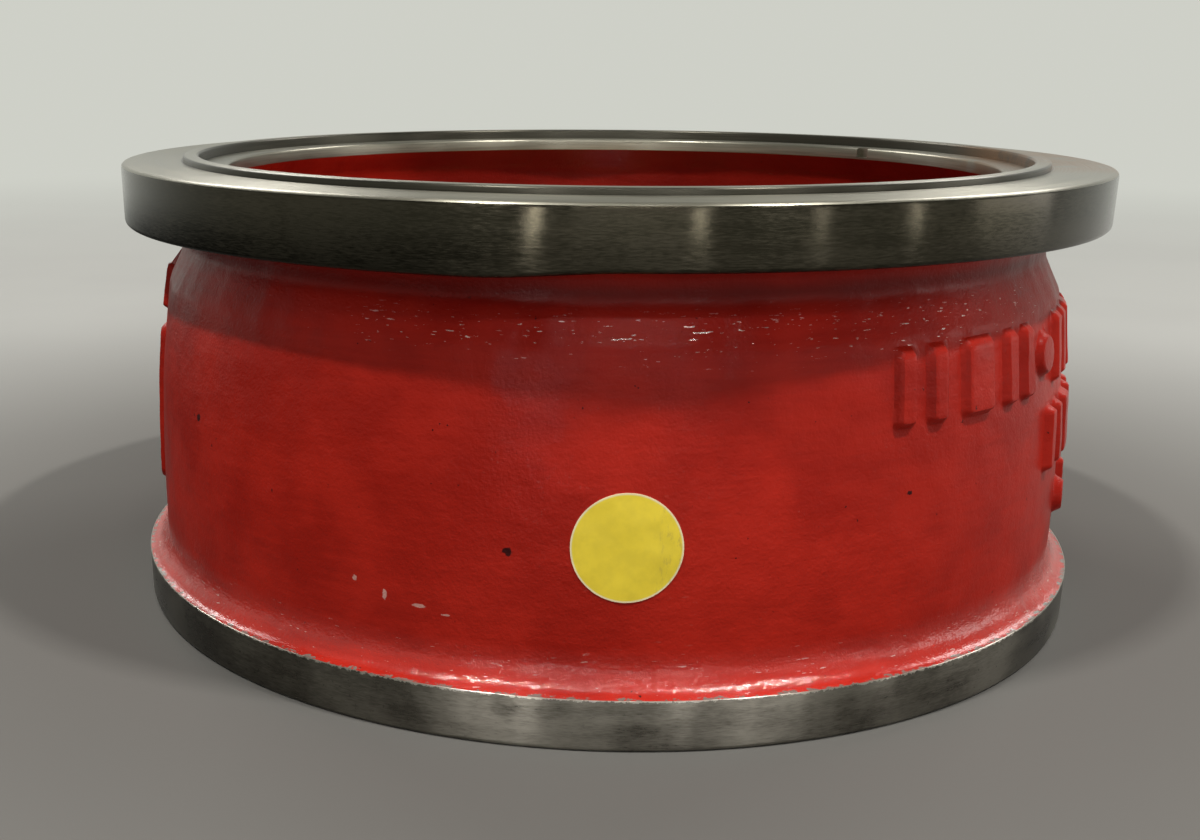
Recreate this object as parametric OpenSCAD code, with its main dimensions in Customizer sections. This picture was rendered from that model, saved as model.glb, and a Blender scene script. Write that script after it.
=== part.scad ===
// Wafer non-return valve, spring closed and guided at its centre.
// Lengths are millimetres. The origin is the middle of the inlet face, +Z is the way of flow.

/* [Flanges] */
// Outside diameter of both flanges, which drops inside the pipe flange's ring of bolts
flange_d = 279.4; // [276:0.2:284]
// Height from the inlet face to the top of the outlet ridge
body_h = 125; // [122:0.5:132]
// Height of the inlet flange's machined rim
inlet_rim_t = 13; // [9:0.5:15]
// Thickness of the outlet flange
outlet_rim_t = 13.9; // [11:0.1:16]
// Rounding of the flange corners
edge_r = 1.2; // [0.6:0.1:2]

/* [Outlet face] */
// How far the raised gasket ridge lies in from the edge of the flange
ridge_inset = 16.7; // [14:0.1:19]
// Width of the ridge
ridge_w = 4.4; // [3:0.1:6]
// Height of the ridge above the flat of the flange
ridge_h = 1.6; // [0.8:0.1:2.4]
// Depth of the recess inside the ridge, below the flat of the flange
recess_depth = 1.4; // [0.8:0.1:2.4]
// Width of the outlet face, from the edge of the flange in to the machined bore
outlet_face_w = 29.3; // [28:0.1:31]
// Height of the machined land in the outlet bore
outlet_land_h = 3.6; // [3.6:0.1:6]
// Width of the fitting notch in the outlet land
notch_w = 4.5; // [3:0.1:6]
// Height of the notch
notch_h = 3; // [1.5:0.1:3.4]
// How far the notch cuts into the land
notch_depth = 1.8; // [1:0.1:3]
// Direction of the notch, counted from +X
notch_angle = 39; // [10:1:80]

/* [Body shell] */
// How far the fullest part of the belly lies in from the edge of the flanges
belly_inset = 5.6; // [4:0.1:7.5]
// Radius of the belly's long vertical curve
belly_curve_r = 450; // [300:10:900]
// How far the neck lies in from the edge of the outlet flange
neck_inset = 15.8; // [13:0.1:18]
// Drop from the outlet ridge to the lower edge of the neck
neck_drop = 24.5; // [22:0.5:27]
// Drop from the outlet ridge to the break of the shoulder
shoulder_drop = 34; // [31:0.5:38]
// Thickness of the cast wall
wall_t = 9; // [7:0.5:11]
// Height of the cove between the inlet flange and the belly
cove_h = 7; // [4:0.5:9]
// Fillet between the neck and the outlet flange
neck_fillet_r = 4.5; // [2:0.1:6]

/* [Seat] */
// How much smaller the throat's radius is than the outlet bore's
throat_inset = 26.4; // [25:0.1:30]
// Height of the seating plane above the inlet face
seat_z = 30; // [29:0.5:34]
// Wall of the seat ring's spigot
spigot_wall = 9; // [8:0.5:10]
// Width of the seat ring's flange outside its spigot
seat_flange_w = 13; // [12:0.1:15]
// Thickness of the seat ring's flange
seat_flange_t = 10; // [9:0.5:12]
// How far the seat ring lies below the inlet face
seat_sink = 0.3; // [0.1:0.1:0.8]
// Thickness of the body's ledge above the seat ring's flange
ledge_t = 15.7; // [14:0.1:17]
// Width of the seating lip
lip_w = 2.4; // [1.6:0.1:3]
// Height of the seating lip above the spigot
lip_h = 2; // [1:0.1:3]
// Number of screws that hold the seat ring
seat_screws_n = 8; // [4, 8, 12]
// Shank diameter of the screws that hold the seat ring
seat_screw_d = 6; // [5:0.5:7]

/* [Disc] */
// How far the disc reaches past the throat, all round
disc_overlap = 9; // [8:0.1:11]
// Thickness of the disc's plate
disc_plate_t = 8; // [6:0.5:10]
// Thickness of the disc's middle web, which the stem nut clamps
disc_web_t = 8; // [7:0.5:10]
// Thickness of the rubber seal ring
seal_t = 7; // [6:0.5:9]
// Width of the seal ring's working face
seal_face_w = 9; // [8:0.5:10]
// Number of ribs on the disc's back
disc_ribs_n = 8; // [4:1:12]
// Thickness of those ribs
disc_rib_t = 5; // [3:0.5:8]
// Number of screws in the seal retainer
retainer_screws_n = 6; // [4:1:8]

/* [Stem] */
// Diameter of the lower journal
lower_journal_d = 22; // [20:0.5:24]
// Diameter of the upper journal
upper_journal_d = 17; // [15:0.5:17.5]
// Diameter of the stem's threaded length
stem_thread_d = 20; // [19:0.5:21]
// Diameter of the stem's collar
collar_d = 32; // [30:0.5:34]
// Thickness of the stem's collar
collar_t = 4; // [3.6:0.1:6]
// Width across the flats of the stem nut
nut_af = 30; // [28:0.5:32]
// Height of the stem nut
nut_h = 8; // [6:0.5:10]
// Thickness of the tab washer
tab_washer_t = 1.5; // [1:0.1:2]

/* [Guides] */
// Outside diameter of the inlet guide's hub
inlet_hub_d = 38; // [36:0.5:40]
// Outside diameter of the outlet guide's hub
outlet_hub_d = 34; // [32:0.5:37]
// Drop from the outlet ridge to the top of the outlet guide's hub
outlet_hub_drop = 13.2; // [12:0.1:16]
// Wall of the bushings
bush_wall = 3; // [2:0.5:3.5]
// Number of arms on each guide
arms_n = 4; // [3:1:6]
// Thickness of the inlet guide's arms
inlet_arm_t = 8; // [6:0.5:10]
// Thickness of the outlet guide's arms
outlet_arm_t = 9; // [6:0.5:11]
// Drop from the outlet ridge to the top of the pads that carry the outlet guide
pad_drop = 41; // [39:0.5:43]
// Width of those pads
pad_w = 26; // [22:0.5:30]
// Thickness of the outlet guide's feet
foot_t = 9; // [7:0.5:10]
// Shank diameter of the outlet guide's screws
guide_screw_d = 6; // [5:0.5:7]

/* [Spring and lift] */
// How far the disc lifts from closed to wide open
lift = 30; // [20:0.5:31]
// Wire diameter of the spring
wire_d = 4; // [3:0.1:4.2]
// Mean diameter of the spring's coils
coil_d = 68; // [66:0.5:72]
// Turns of the spring, with its closed ends
turns = 4.5; // [3.5:0.25:4.75]
// Thickness of the thrust washer under the spring
thrust_t = 2; // [1.5:0.1:3]

/* [Clearances] */
// Radial play between a journal and its bushing
journal_play = 0.05; // [0.02:0.01:0.09]
// Radial room round the parts that drop into machined bores
bore_room = 0.2; // [0.1:0.05:0.4]
// Radial room between the spring's coils and the rims that centre them
coil_room = 0.5; // [0.3:0.1:1]
// Room between the closed faces that part when the disc lifts
face_room = 0.05; // [0.02:0.01:0.2]
// Radial room between a screw's shank and its tapped hole
thread_room = 0.05; // [0.02:0.01:0.1]

/* [Hidden] */

big_fn = 180;
mid_fn = 72;
small_fn = 36;
arc_steps = 6;
// A cut runs this far past the face that it opens
past = 2;

// Radii and heights of the body
flange_r = flange_d / 2;
belly_r = flange_r - belly_inset;
neck_r = flange_r - neck_inset;
ridge_r = flange_r - ridge_inset;
outlet_bore_r = flange_r - outlet_face_w;
outlet_flat_z = body_h - ridge_h;
recess_z = outlet_flat_z - recess_depth;
land_z = recess_z - outlet_land_h;
outlet_under_z = outlet_flat_z - outlet_rim_t;
neck_z = body_h - neck_drop;
shoulder_z = body_h - shoulder_drop;
belly_z = inlet_rim_t + cove_h + 2;
rim_land = 0.2;
cove_steps = 8;

// The seat ring in its pocket
throat_r = outlet_bore_r - throat_inset;
spigot_r = throat_r + spigot_wall;
seat_flange_r = spigot_r + seat_flange_w;
pocket_z = seat_sink + seat_flange_t;
ledge_bore_r = spigot_r + bore_room;
ledge_z = pocket_z + ledge_t;
spigot_z = seat_z - lip_h;
seat_screw_r = seat_screw_d / 2;
seat_screw_at = (ledge_bore_r + seat_flange_r) / 2;
seat_head_r = 1.85 * seat_screw_r;
seat_screw_l = 20;
o_ring_w = 3.5;
o_ring_depth = 2.8;
o_ring_z = (pocket_z + spigot_z) / 2 + 1;

// The disc and what it carries
disc_r = throat_r + disc_overlap;
seal_z = seat_z + face_room;
seal_outer_r = disc_r - 2;
seal_inner_r = seal_outer_r - seal_face_w;
seal_tail_w = 5;
seal_tail_t = seal_t - 3;
disc_under_z = seal_z + seal_t;
disc_back_z = disc_under_z + disc_plate_t;
skirt_z = seal_z + 2;
retainer_r = seal_inner_r;
retainer_hub_r = retainer_r - seal_tail_w;
retainer_nose_r = inlet_hub_d / 2 + 6;
retainer_drop = 5;
retainer_low_z = disc_under_z - seal_tail_t - 3;
retainer_screw_r = 3;
retainer_screw_at = (retainer_nose_r + retainer_hub_r) / 2 + 4;

// The inlet guide reaches up into the hollow of the disc
inlet_stem_end = 2;
keep_in = 5.5;
inlet_hub_top = inlet_stem_end + lift + keep_in;
inlet_hub_low = 7;
collar_z = inlet_hub_top + 0.7;
web_z = collar_z + collar_t;
hollow_r = retainer_nose_r;
disc_boss_r = hollow_r - 4;
web_top_z = web_z + disc_web_t;
nut_z = web_top_z + tab_washer_t;
nut_top_z = nut_z + nut_h;
collar_r = collar_d / 2;
lower_journal_r = lower_journal_d / 2;
upper_journal_r = upper_journal_d / 2;
stem_thread_r = stem_thread_d / 2;
thread_end_z = nut_top_z + 1;
tab_r = nut_af / 2 + 4;
stem_ring_r = 12.6;
stem_ring_w = 2.2;
stem_ring_depth = 1.6;

// The outlet guide above it
stop_room = 0.1;
outlet_hub_low = nut_top_z + lift + stop_room;
upper_bush_low = thread_end_z + lift + 1;
outlet_hub_top = body_h - outlet_hub_drop;
outlet_hub_r = outlet_hub_d / 2;
stem_top_z = outlet_hub_low + 16;
pad_z = body_h - pad_drop;
foot_top_z = pad_z + foot_t;
foot_out_r = outlet_bore_r - 2;
foot_in_r = foot_out_r - 16;
foot_w = pad_w - 4;
pad_in_r = disc_r + 3;
guide_screw_r = guide_screw_d / 2;
guide_screw_at = (pad_in_r + foot_out_r) / 2;
washer_t = 1.2;
washer_r = 1.95 * guide_screw_r;
spring_top_z = outlet_hub_top - 13.6;
spring_ring_t = 3;
arm_top_z = outlet_hub_top - 5;

// The spring and the washer that it turns on
thrust_z = disc_back_z + face_room;
spring_low_z = thrust_z + thrust_t + face_room;
coil_r = coil_d / 2;
wire_r = wire_d / 2;
coil_in_r = coil_r - wire_r;
thrust_in_r = coil_in_r - 4;
thrust_out_r = coil_r + wire_r + 3;
collar_wall = 2;
closed_pitch = wire_d * 1.08;
wire_sides = 10;
rings_per_turn = 36;

// Small cuts, flares and bevels
bevel = 0.5;
throat_flare = 5;
tab_t = 6.4;
tab_w = 16;
tab_end_r = throat_r + 10;
inlet_screw_at = throat_r + 4.6;
inlet_screw_r = 2.5;
inlet_screw_l = 12;

function unit(v) = v / norm(v);

// Points that replace the corner p, between a and b, by an arc of radius r
function corner(p, a, b, r) =
    let (u = unit(a - p), v = unit(b - p), half = acos(max(-1, min(1, u * v))) / 2,
         reach = min(r / tan(half), 0.48 * norm(a - p), 0.48 * norm(b - p)),
         radius = reach * tan(half), centre = p + unit(u + v) * radius / sin(half),
         from = p + u * reach - centre, to = p + v * reach - centre,
         start = atan2(from.y, from.x), swing = (atan2(to.y, to.x) - start + 540) % 360 - 180)
    [for (i = [0 : arc_steps]) let (t = start + swing * i / arc_steps) centre + radius * [cos(t), sin(t)]];

// Outline of corners [x, y] that stay sharp, or [x, y, r] that are rounded
function rounded(c) =
    let (n = len(c), p = [for (q = c) [q.x, q.y]])
    [for (i = [0 : n - 1])
        each c[i][2] == undef ? [p[i]] : corner(p[i], p[(i + n - 1) % n], p[(i + 1) % n], c[i][2])];

// Radius of the belly at height z, on its long curve
function belly_at(z) = belly_r - belly_curve_r + sqrt(pow(belly_curve_r, 2) - pow(z - belly_z, 2));

module turned(corners, fn = big_fn) {
    rotate_extrude($fn = fn) polygon(rounded(corners));
}

module ring_of(n, at, first = 0) {
    for (i = [0 : n - 1]) rotate(first + 360 * i / n) translate([at, 0, 0]) children();
}

// A flat plate of outline corners in the plane of X and Z, centred on Y
module upright(corners, thick) {
    translate([0, thick / 2, 0]) rotate([90, 0, 0]) linear_extrude(thick) polygon(rounded(corners));
}

// A cast arm along X: the corners of its side view, cut to a plan with a waist between its two wider ends
module waisted_arm(side, from_r, to_r, from_w, waist_w, to_w) {
    sweep = (to_r - from_r) / 4;
    intersection() {
        upright(side, max(from_w, to_w) + 2 * past);
        linear_extrude(body_h) polygon(rounded([
            [from_r, -from_w / 2], [from_r + sweep, -waist_w / 2, 2 * sweep], [to_r - sweep, -waist_w / 2, 2 * sweep],
            [to_r, -to_w / 2], [to_r, to_w / 2], [to_r - sweep, waist_w / 2, 2 * sweep],
            [from_r + sweep, waist_w / 2, 2 * sweep], [from_r, from_w / 2]]));
    }
}

module tube(outer, inner, low, high, fn = mid_fn) {
    turned([[inner, low, bevel], [outer, low, bevel], [outer, high, bevel], [inner, high, bevel]], fn);
}

// A flat-head screw whose head is flush with z = 0 and whose shank runs up
module flat_screw(r, head_r, length, socket) {
    head_h = head_r - r;
    difference() {
        union() {
            cylinder(r1 = head_r, r2 = r, h = head_h, $fn = small_fn);
            translate([0, 0, head_h]) cylinder(r = r, h = length - head_h, $fn = small_fn);
        }
        translate([0, 0, -past]) cylinder(r = socket, h = past + head_h * 0.8, $fn = 6);
    }
}

// The hole that such a screw passes through
module flat_screw_hole(r, head_r, through) {
    translate([0, 0, -past]) cylinder(r = head_r + bore_room, h = past, $fn = small_fn);
    cylinder(r1 = head_r + bore_room, r2 = r + bore_room, h = head_r - r, $fn = small_fn);
    cylinder(r = r + bore_room, h = through, $fn = small_fn);
}

// The hollow cove that runs up from the inlet rim into the belly, a quarter of an ellipse
function cove() =
    let (foot_r = belly_at(inlet_rim_t + cove_h), reach = flange_r - rim_land - foot_r)
    [for (i = [0 : cove_steps]) let (t = 270 - 90 * i / cove_steps)
        [foot_r + reach * (1 + cos(t)), inlet_rim_t + cove_h * (1 + sin(t))]];

// Cross-section of the casting: up the outside, over the outlet face and down the passage
function body_section() = [
    [seat_flange_r + bore_room, 0, bevel], [flange_r, 0, edge_r], [flange_r, inlet_rim_t], each cove(),
    for (i = [0 : 5]) let (z = belly_z + (shoulder_z - 6 - belly_z) * i / 5) [belly_at(z), z],
    [belly_at(shoulder_z), shoulder_z, 9], [neck_r, neck_z, 9], [neck_r, outlet_under_z, neck_fillet_r],
    [flange_r, outlet_under_z, edge_r], [flange_r, outlet_flat_z, edge_r],
    [ridge_r, outlet_flat_z], [ridge_r, body_h, bevel],
    [ridge_r - ridge_w, body_h, bevel], [ridge_r - ridge_w, recess_z],
    [outlet_bore_r, recess_z, bevel], [outlet_bore_r, land_z],
    [neck_r - wall_t, land_z - 7, 8], [neck_r - wall_t, neck_z - 2, 10],
    for (i = [0 : 4]) let (z = shoulder_z - 4 - (shoulder_z - ledge_z - 24) * i / 4) [belly_at(z) - wall_t, z],
    [belly_r - wall_t - 1, ledge_z + 3, 16], [ledge_bore_r + 4, ledge_z], [ledge_bore_r, ledge_z - 2],
    [ledge_bore_r, pocket_z], [seat_flange_r + bore_room, pocket_z]];

module body_casting() {
    pad_tap_l = 11;
    color("firebrick") difference() {
        union() {
            turned(body_section());
            for (i = [0 : arms_n - 1]) rotate(360 * i / arms_n) guide_pad();
        }
        ring_of(seat_screws_n, seat_screw_at, 180 / seat_screws_n) translate([0, 0, pocket_z - past])
            cylinder(r = seat_screw_r, h = past + seat_screw_l - seat_flange_t + 2, $fn = small_fn);
        ring_of(arms_n, guide_screw_at) translate([0, 0, pad_z - pad_tap_l])
            cylinder(r = guide_screw_r, h = pad_tap_l + past, $fn = small_fn);
        rotate(notch_angle) translate([outlet_bore_r - past, -notch_w / 2, recess_z - notch_h])
            cube([past + notch_depth, notch_w, notch_h + past]);
    }
}

// A pad on the inside of the casting, machined flat on top to carry a foot of the outlet guide
module guide_pad() {
    root_r = belly_at(pad_z) - wall_t / 2;
    upright([[pad_in_r, pad_z], [root_r, pad_z], [root_r, pad_z - 34], [root_r - 5, pad_z - 34],
             [pad_in_r, pad_z - 16, 6]], pad_w);
}

module seat_ring() {
    slot_r = tab_end_r + bore_room;
    color("silver") difference() {
        turned([[throat_r + throat_flare, seat_sink], [seat_flange_r, seat_sink, bevel],
                [seat_flange_r, pocket_z, bevel], [spigot_r, pocket_z],
                [spigot_r, o_ring_z - o_ring_w / 2], [spigot_r - o_ring_depth, o_ring_z - o_ring_w / 2],
                [spigot_r - o_ring_depth, o_ring_z + o_ring_w / 2], [spigot_r, o_ring_z + o_ring_w / 2],
                [spigot_r, spigot_z, bevel], [throat_r + lip_w + lip_h, spigot_z, 1],
                [throat_r + lip_w, seat_z, 0.3], [throat_r, seat_z, 0.3],
                [throat_r, seat_sink + 2 * throat_flare, 8]]);
        for (i = [0 : arms_n - 1]) rotate(360 * i / arms_n)
            translate([throat_r - past, -tab_w / 2 - bore_room, seat_sink - past])
                cube([slot_r - throat_r + past, tab_w + 2 * bore_room, tab_t + past]);
        ring_of(seat_screws_n, seat_screw_at, 180 / seat_screws_n) translate([0, 0, seat_sink])
            flat_screw_hole(seat_screw_r, seat_head_r, seat_flange_t + past);
        ring_of(arms_n, inlet_screw_at) translate([0, 0, seat_sink])
            cylinder(r = inlet_screw_r, h = inlet_screw_l + 1, $fn = small_fn);
    }
}

module seat_o_ring() {
    squeeze_r = ledge_bore_r - (spigot_r - o_ring_depth);
    color("black") rotate_extrude($fn = big_fn) translate([spigot_r - o_ring_depth, o_ring_z - squeeze_r / 2])
        square(squeeze_r);
}

module seat_screws() {
    color("gainsboro") ring_of(seat_screws_n, seat_screw_at, 180 / seat_screws_n) translate([0, 0, seat_sink])
        flat_screw(seat_screw_r - thread_room, seat_head_r, seat_screw_l, 1.9);
}

module inlet_guide() {
    hub_r = inlet_hub_d / 2;
    bush_r = lower_journal_r + journal_play + bush_wall;
    arm_z = seat_sink + 15;
    color("goldenrod") difference() {
        union() {
            turned([[bush_r, inlet_hub_low, bevel], [hub_r - 3, inlet_hub_low, 1], [hub_r, inlet_hub_low + 6, 4],
                    [hub_r, inlet_hub_top - 6, 4], [hub_r - 3, inlet_hub_top, 1], [bush_r, inlet_hub_top, bevel]],
                   mid_fn);
            for (i = [0 : arms_n - 1]) rotate(360 * i / arms_n) {
                waisted_arm([[hub_r - 3, inlet_hub_low + 2], [throat_r - 8, seat_sink],
                             [throat_r + 1, seat_sink], [throat_r + 1, seat_sink + tab_t],
                             [throat_r - 12, seat_sink + tab_t + 1, 12], [hub_r + 6, arm_z, 12],
                             [hub_r - 3, arm_z + 7]], hub_r - 3, throat_r + 1, hub_r, inlet_arm_t, tab_w - 3);
                translate([throat_r - 3, -tab_w / 2, seat_sink]) cube([tab_end_r - throat_r + 3, tab_w, tab_t]);
            }
        }
        ring_of(arms_n, inlet_screw_at) translate([0, 0, seat_sink])
            flat_screw_hole(inlet_screw_r, 2 * inlet_screw_r, tab_t + past);
    }
}

module inlet_guide_screws() {
    color("gainsboro") ring_of(arms_n, inlet_screw_at) translate([0, 0, seat_sink])
        flat_screw(inlet_screw_r - thread_room, 2 * inlet_screw_r, inlet_screw_l, 1.6);
}

module lower_bushing() {
    inner = lower_journal_r + journal_play;
    color("peru") tube(inner + bush_wall, inner, inlet_hub_low, inlet_hub_top);
}

module disc() {
    rib_in_r = thrust_out_r + 2;
    rib_out_r = disc_r - 5;
    color("darkgoldenrod") difference() {
        union() {
            turned([[stem_thread_r + bore_room, web_z], [hollow_r - 5, web_z, 3], [hollow_r, disc_under_z, 1],
                    [seal_outer_r, disc_under_z], [seal_outer_r, skirt_z, 0.4], [disc_r, skirt_z, 0.8],
                    [disc_r, disc_back_z - 3, 3], [rib_out_r, disc_back_z, 3], [disc_boss_r + 4, disc_back_z, 2],
                    [disc_boss_r, web_top_z, 1], [stem_thread_r + bore_room, web_top_z, bevel]]);
            for (i = [0 : disc_ribs_n - 1]) rotate(360 * (i + 0.5) / disc_ribs_n)
                upright([[rib_in_r, disc_back_z - 1], [rib_out_r, disc_back_z - 1], [rib_out_r, disc_back_z + 0.6],
                         [rib_in_r + 6, disc_back_z + 4, 4], [rib_in_r, disc_back_z + 4, 1]], disc_rib_t);
        }
        ring_of(retainer_screws_n, retainer_screw_at) translate([0, 0, disc_under_z - past])
            cylinder(r = retainer_screw_r, h = disc_plate_t + 2 * past, $fn = small_fn);
    }
}

module disc_seal() {
    color("dimgray") turned([[seal_inner_r - seal_tail_w, disc_under_z - seal_tail_t],
                             [seal_inner_r, disc_under_z - seal_tail_t], [seal_inner_r, seal_z, bevel],
                             [seal_outer_r, seal_z, bevel], [seal_outer_r, disc_under_z],
                             [seal_inner_r - seal_tail_w, disc_under_z]]);
}

module seal_retainer() {
    nose_z = retainer_low_z - retainer_drop;
    color("silver") difference() {
        turned([[retainer_nose_r, nose_z, 2], [retainer_nose_r + 8, nose_z, 6],
                [retainer_r, retainer_low_z, 1], [retainer_r, disc_under_z - seal_tail_t],
                [retainer_hub_r, disc_under_z - seal_tail_t], [retainer_hub_r, disc_under_z],
                [retainer_nose_r, disc_under_z]]);
        ring_of(retainer_screws_n, retainer_screw_at) translate([0, 0, retainer_screw_z()])
            flat_screw_hole(retainer_screw_r, 2 * retainer_screw_r, disc_under_z - retainer_screw_z() + past);
    }
}

// Height of the seal retainer's cone where its screws stand, so that their heads lie just under it
function retainer_screw_z() =
    retainer_low_z - retainer_drop * (retainer_r - retainer_screw_at) / (retainer_r - retainer_nose_r - 8) + 1.4;

module retainer_screws() {
    color("gainsboro") ring_of(retainer_screws_n, retainer_screw_at) translate([0, 0, retainer_screw_z()])
        flat_screw(retainer_screw_r - thread_room, 2 * retainer_screw_r,
                   disc_under_z - retainer_screw_z() + disc_plate_t - 2, 1.9);
}

// Half-outline of the hole that a lathe's centre leaves in the end of a shaft, going inwards by the given sign
function centre_hole(end_z, inwards) =
    let (mouth_r = 3, drill_r = 1.2, cone_h = (mouth_r - drill_r) / tan(30))
    [[0, end_z + inwards * (cone_h + 2 * drill_r)], [drill_r, end_z + inwards * (cone_h + 2 * drill_r)],
     [drill_r, end_z + inwards * cone_h], [mouth_r, end_z]];

module stem() {
    tip = 1.5;
    top_hole = centre_hole(stem_top_z, -1);
    color("lightsteelblue") turned([each centre_hole(inlet_stem_end, 1), [lower_journal_r - tip, inlet_stem_end],
        [lower_journal_r, inlet_stem_end + tip], [lower_journal_r, collar_z], [collar_r, collar_z, bevel],
        [collar_r, web_z], [stem_ring_r + stem_ring_w, web_z], [stem_ring_r + stem_ring_w, web_z - stem_ring_depth],
        [stem_ring_r, web_z - stem_ring_depth], [stem_ring_r, web_z], [stem_thread_r, web_z],
        [stem_thread_r, thread_end_z - tip], [stem_thread_r - tip, thread_end_z],
        [upper_journal_r, thread_end_z], [upper_journal_r, stem_top_z - tip],
        [upper_journal_r - tip, stem_top_z], for (i = [3 : -1 : 0]) top_hole[i]], mid_fn);
}

module stem_o_ring() {
    color("black") rotate_extrude($fn = mid_fn) translate([stem_ring_r + 0.2, web_z - stem_ring_depth])
        square([stem_ring_w - 0.4, stem_ring_depth]);
}

module stem_nut() {
    corner_r = nut_af / 2 / cos(30);
    color("silver") difference() {
        intersection() {
            translate([0, 0, nut_z]) cylinder(r = corner_r, h = nut_h, $fn = 6);
            turned([[0, nut_z], [corner_r + 1, nut_z], [corner_r + 1, nut_top_z - 2],
                    [nut_af / 2 - 1, nut_top_z], [0, nut_top_z]], mid_fn);
        }
        translate([0, 0, nut_z - past])
            cylinder(r = stem_thread_r + thread_room, h = nut_h + 2 * past, $fn = mid_fn);
    }
}

module tab_washer() {
    tab_h = 6;
    color("gainsboro") difference() {
        union() {
            translate([0, 0, web_top_z]) cylinder(r = tab_r, h = tab_washer_t, $fn = mid_fn);
            rotate(30) translate([nut_af / 2 + bore_room, -4, web_top_z]) cube([tab_washer_t, 8, tab_h]);
        }
        translate([0, 0, web_top_z - past])
            cylinder(r = stem_thread_r + bore_room, h = tab_h + 2 * past, $fn = mid_fn);
    }
}

module thrust_washer() {
    top = thrust_z + thrust_t;
    rim_r = coil_in_r - coil_room;
    color("silver") turned([[thrust_in_r, thrust_z], [thrust_out_r, thrust_z, 0.4], [thrust_out_r, top, 0.4],
        [rim_r, top], [rim_r, top + wire_d * 0.8, 0.5], [rim_r - collar_wall, top + wire_d * 0.8, 0.5],
        [rim_r - collar_wall, top], [thrust_in_r, top]], mid_fn);
}

// Height of the wire's centre after t turns: closed end turns, and an even pitch between them
function spring_rise(t) =
    let (low = spring_low_z + wire_r * 0.6, high = spring_top_z - wire_r * 0.6,
         open_pitch = (high - low - 2 * closed_pitch) / (turns - 2))
    low + closed_pitch * min(t, 1) + open_pitch * max(0, min(t, turns - 1) - 1)
        + closed_pitch * max(0, t - turns + 1);

module spring() {
    steps = ceil(turns * rings_per_turn);
    rings = [for (i = [0 : steps]) let (t = turns * i / steps, a = 360 * t) each
        [for (k = [0 : wire_sides - 1]) let (b = 360 * k / wire_sides, r = coil_r + wire_r * cos(b))
            [r * cos(a), r * sin(a), spring_rise(t) + wire_r * sin(b)]]];
    sides = [for (i = [0 : steps - 1], k = [0 : wire_sides - 1])
        let (p = i * wire_sides, q = p + wire_sides, n = (k + 1) % wire_sides) [p + k, p + n, q + n, q + k]];
    first = [[for (k = [0 : wire_sides - 1]) wire_sides - 1 - k]];
    last = [[for (k = [0 : wire_sides - 1]) steps * wire_sides + k]];
    color("lightgray") intersection() {
        polyhedron(points = rings, faces = [for (f = concat(first, sides, last)) [for (k = [1 : len(f)]) f[len(f) - k]]]);
        translate([0, 0, spring_low_z])
            cylinder(r = coil_r + wire_d, h = spring_top_z - spring_low_z, $fn = mid_fn);
    }
}

module outlet_guide() {
    bush_r = upper_journal_r + journal_play + bush_wall;
    rim_r = coil_in_r - coil_room;
    ring_out_r = coil_r + wire_r + 3;
    color("goldenrod") difference() {
        union() {
            turned([[bush_r, outlet_hub_low, bevel], [outlet_hub_r - 1, outlet_hub_low, 1],
                    [outlet_hub_r, outlet_hub_low + 4, 3], [outlet_hub_r, outlet_hub_top - 4, 3],
                    [outlet_hub_r - 2, outlet_hub_top, 1], [bush_r, outlet_hub_top, bevel]], mid_fn);
            turned([[rim_r - collar_wall, spring_top_z - wire_d * 0.8, 0.5], [rim_r, spring_top_z - wire_d * 0.8, 0.5],
                    [rim_r, spring_top_z], [ring_out_r, spring_top_z, 0.5],
                    [ring_out_r, spring_top_z + spring_ring_t, 1],
                    [rim_r - collar_wall, spring_top_z + spring_ring_t, 1]], mid_fn);
            for (i = [0 : arms_n - 1]) rotate(360 * i / arms_n) guide_arm();
        }
        ring_of(arms_n, guide_screw_at) translate([0, 0, pad_z - past])
            cylinder(r = guide_screw_r + bore_room, h = foot_t + 2 * past, $fn = small_fn);
    }
}

// One arm of the outlet guide, from the hub out and down to the foot on its pad
module guide_arm() {
    foot_round = 4;
    waisted_arm([[outlet_hub_r - 2, spring_top_z + 1], [coil_r + wire_r + 1, spring_top_z + 1],
                 [foot_in_r - 8, pad_z + 3, 10], [foot_in_r + 1, pad_z + 1], [foot_in_r + 1, foot_top_z - 1],
                 [foot_in_r - 5, foot_top_z + 1, 10], [coil_r + 16, arm_top_z - 2, 12],
                 [outlet_hub_r - 2, arm_top_z]], outlet_hub_r - 2, foot_in_r + 1, outlet_hub_r - 3, outlet_arm_t,
                foot_w - 2 * foot_round);
    intersection() {
        translate([0, 0, pad_z]) linear_extrude(foot_t) polygon(rounded([
            [foot_in_r, -foot_w / 2, foot_round], [foot_out_r + past, -foot_w / 2],
            [foot_out_r + past, foot_w / 2], [foot_in_r, foot_w / 2, foot_round]]));
        cylinder(r = foot_out_r, h = body_h, $fn = big_fn);
    }
}

module upper_bushing() {
    inner = upper_journal_r + journal_play;
    color("peru") tube(inner + bush_wall, inner, upper_bush_low, outlet_hub_top);
}

module guide_screws() {
    head_h = 4;
    shank_l = 10;
    under = foot_top_z + washer_t;
    corner_r = guide_screw_r * 1.88;
    color("silver") ring_of(arms_n, guide_screw_at) {
        translate([0, 0, pad_z - shank_l])
            cylinder(r = guide_screw_r - thread_room, h = under - pad_z + shank_l, $fn = small_fn);
        translate([0, 0, under]) cylinder(r = corner_r, h = head_h, $fn = 6);
    }
}

module guide_washers() {
    color("gainsboro") ring_of(arms_n, guide_screw_at) translate([0, 0, foot_top_z]) difference() {
        cylinder(r = washer_r, h = washer_t, $fn = small_fn);
        translate([0, 0, -past]) cylinder(r = guide_screw_r + bore_room, h = washer_t + 2 * past, $fn = small_fn);
    }
}

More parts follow.
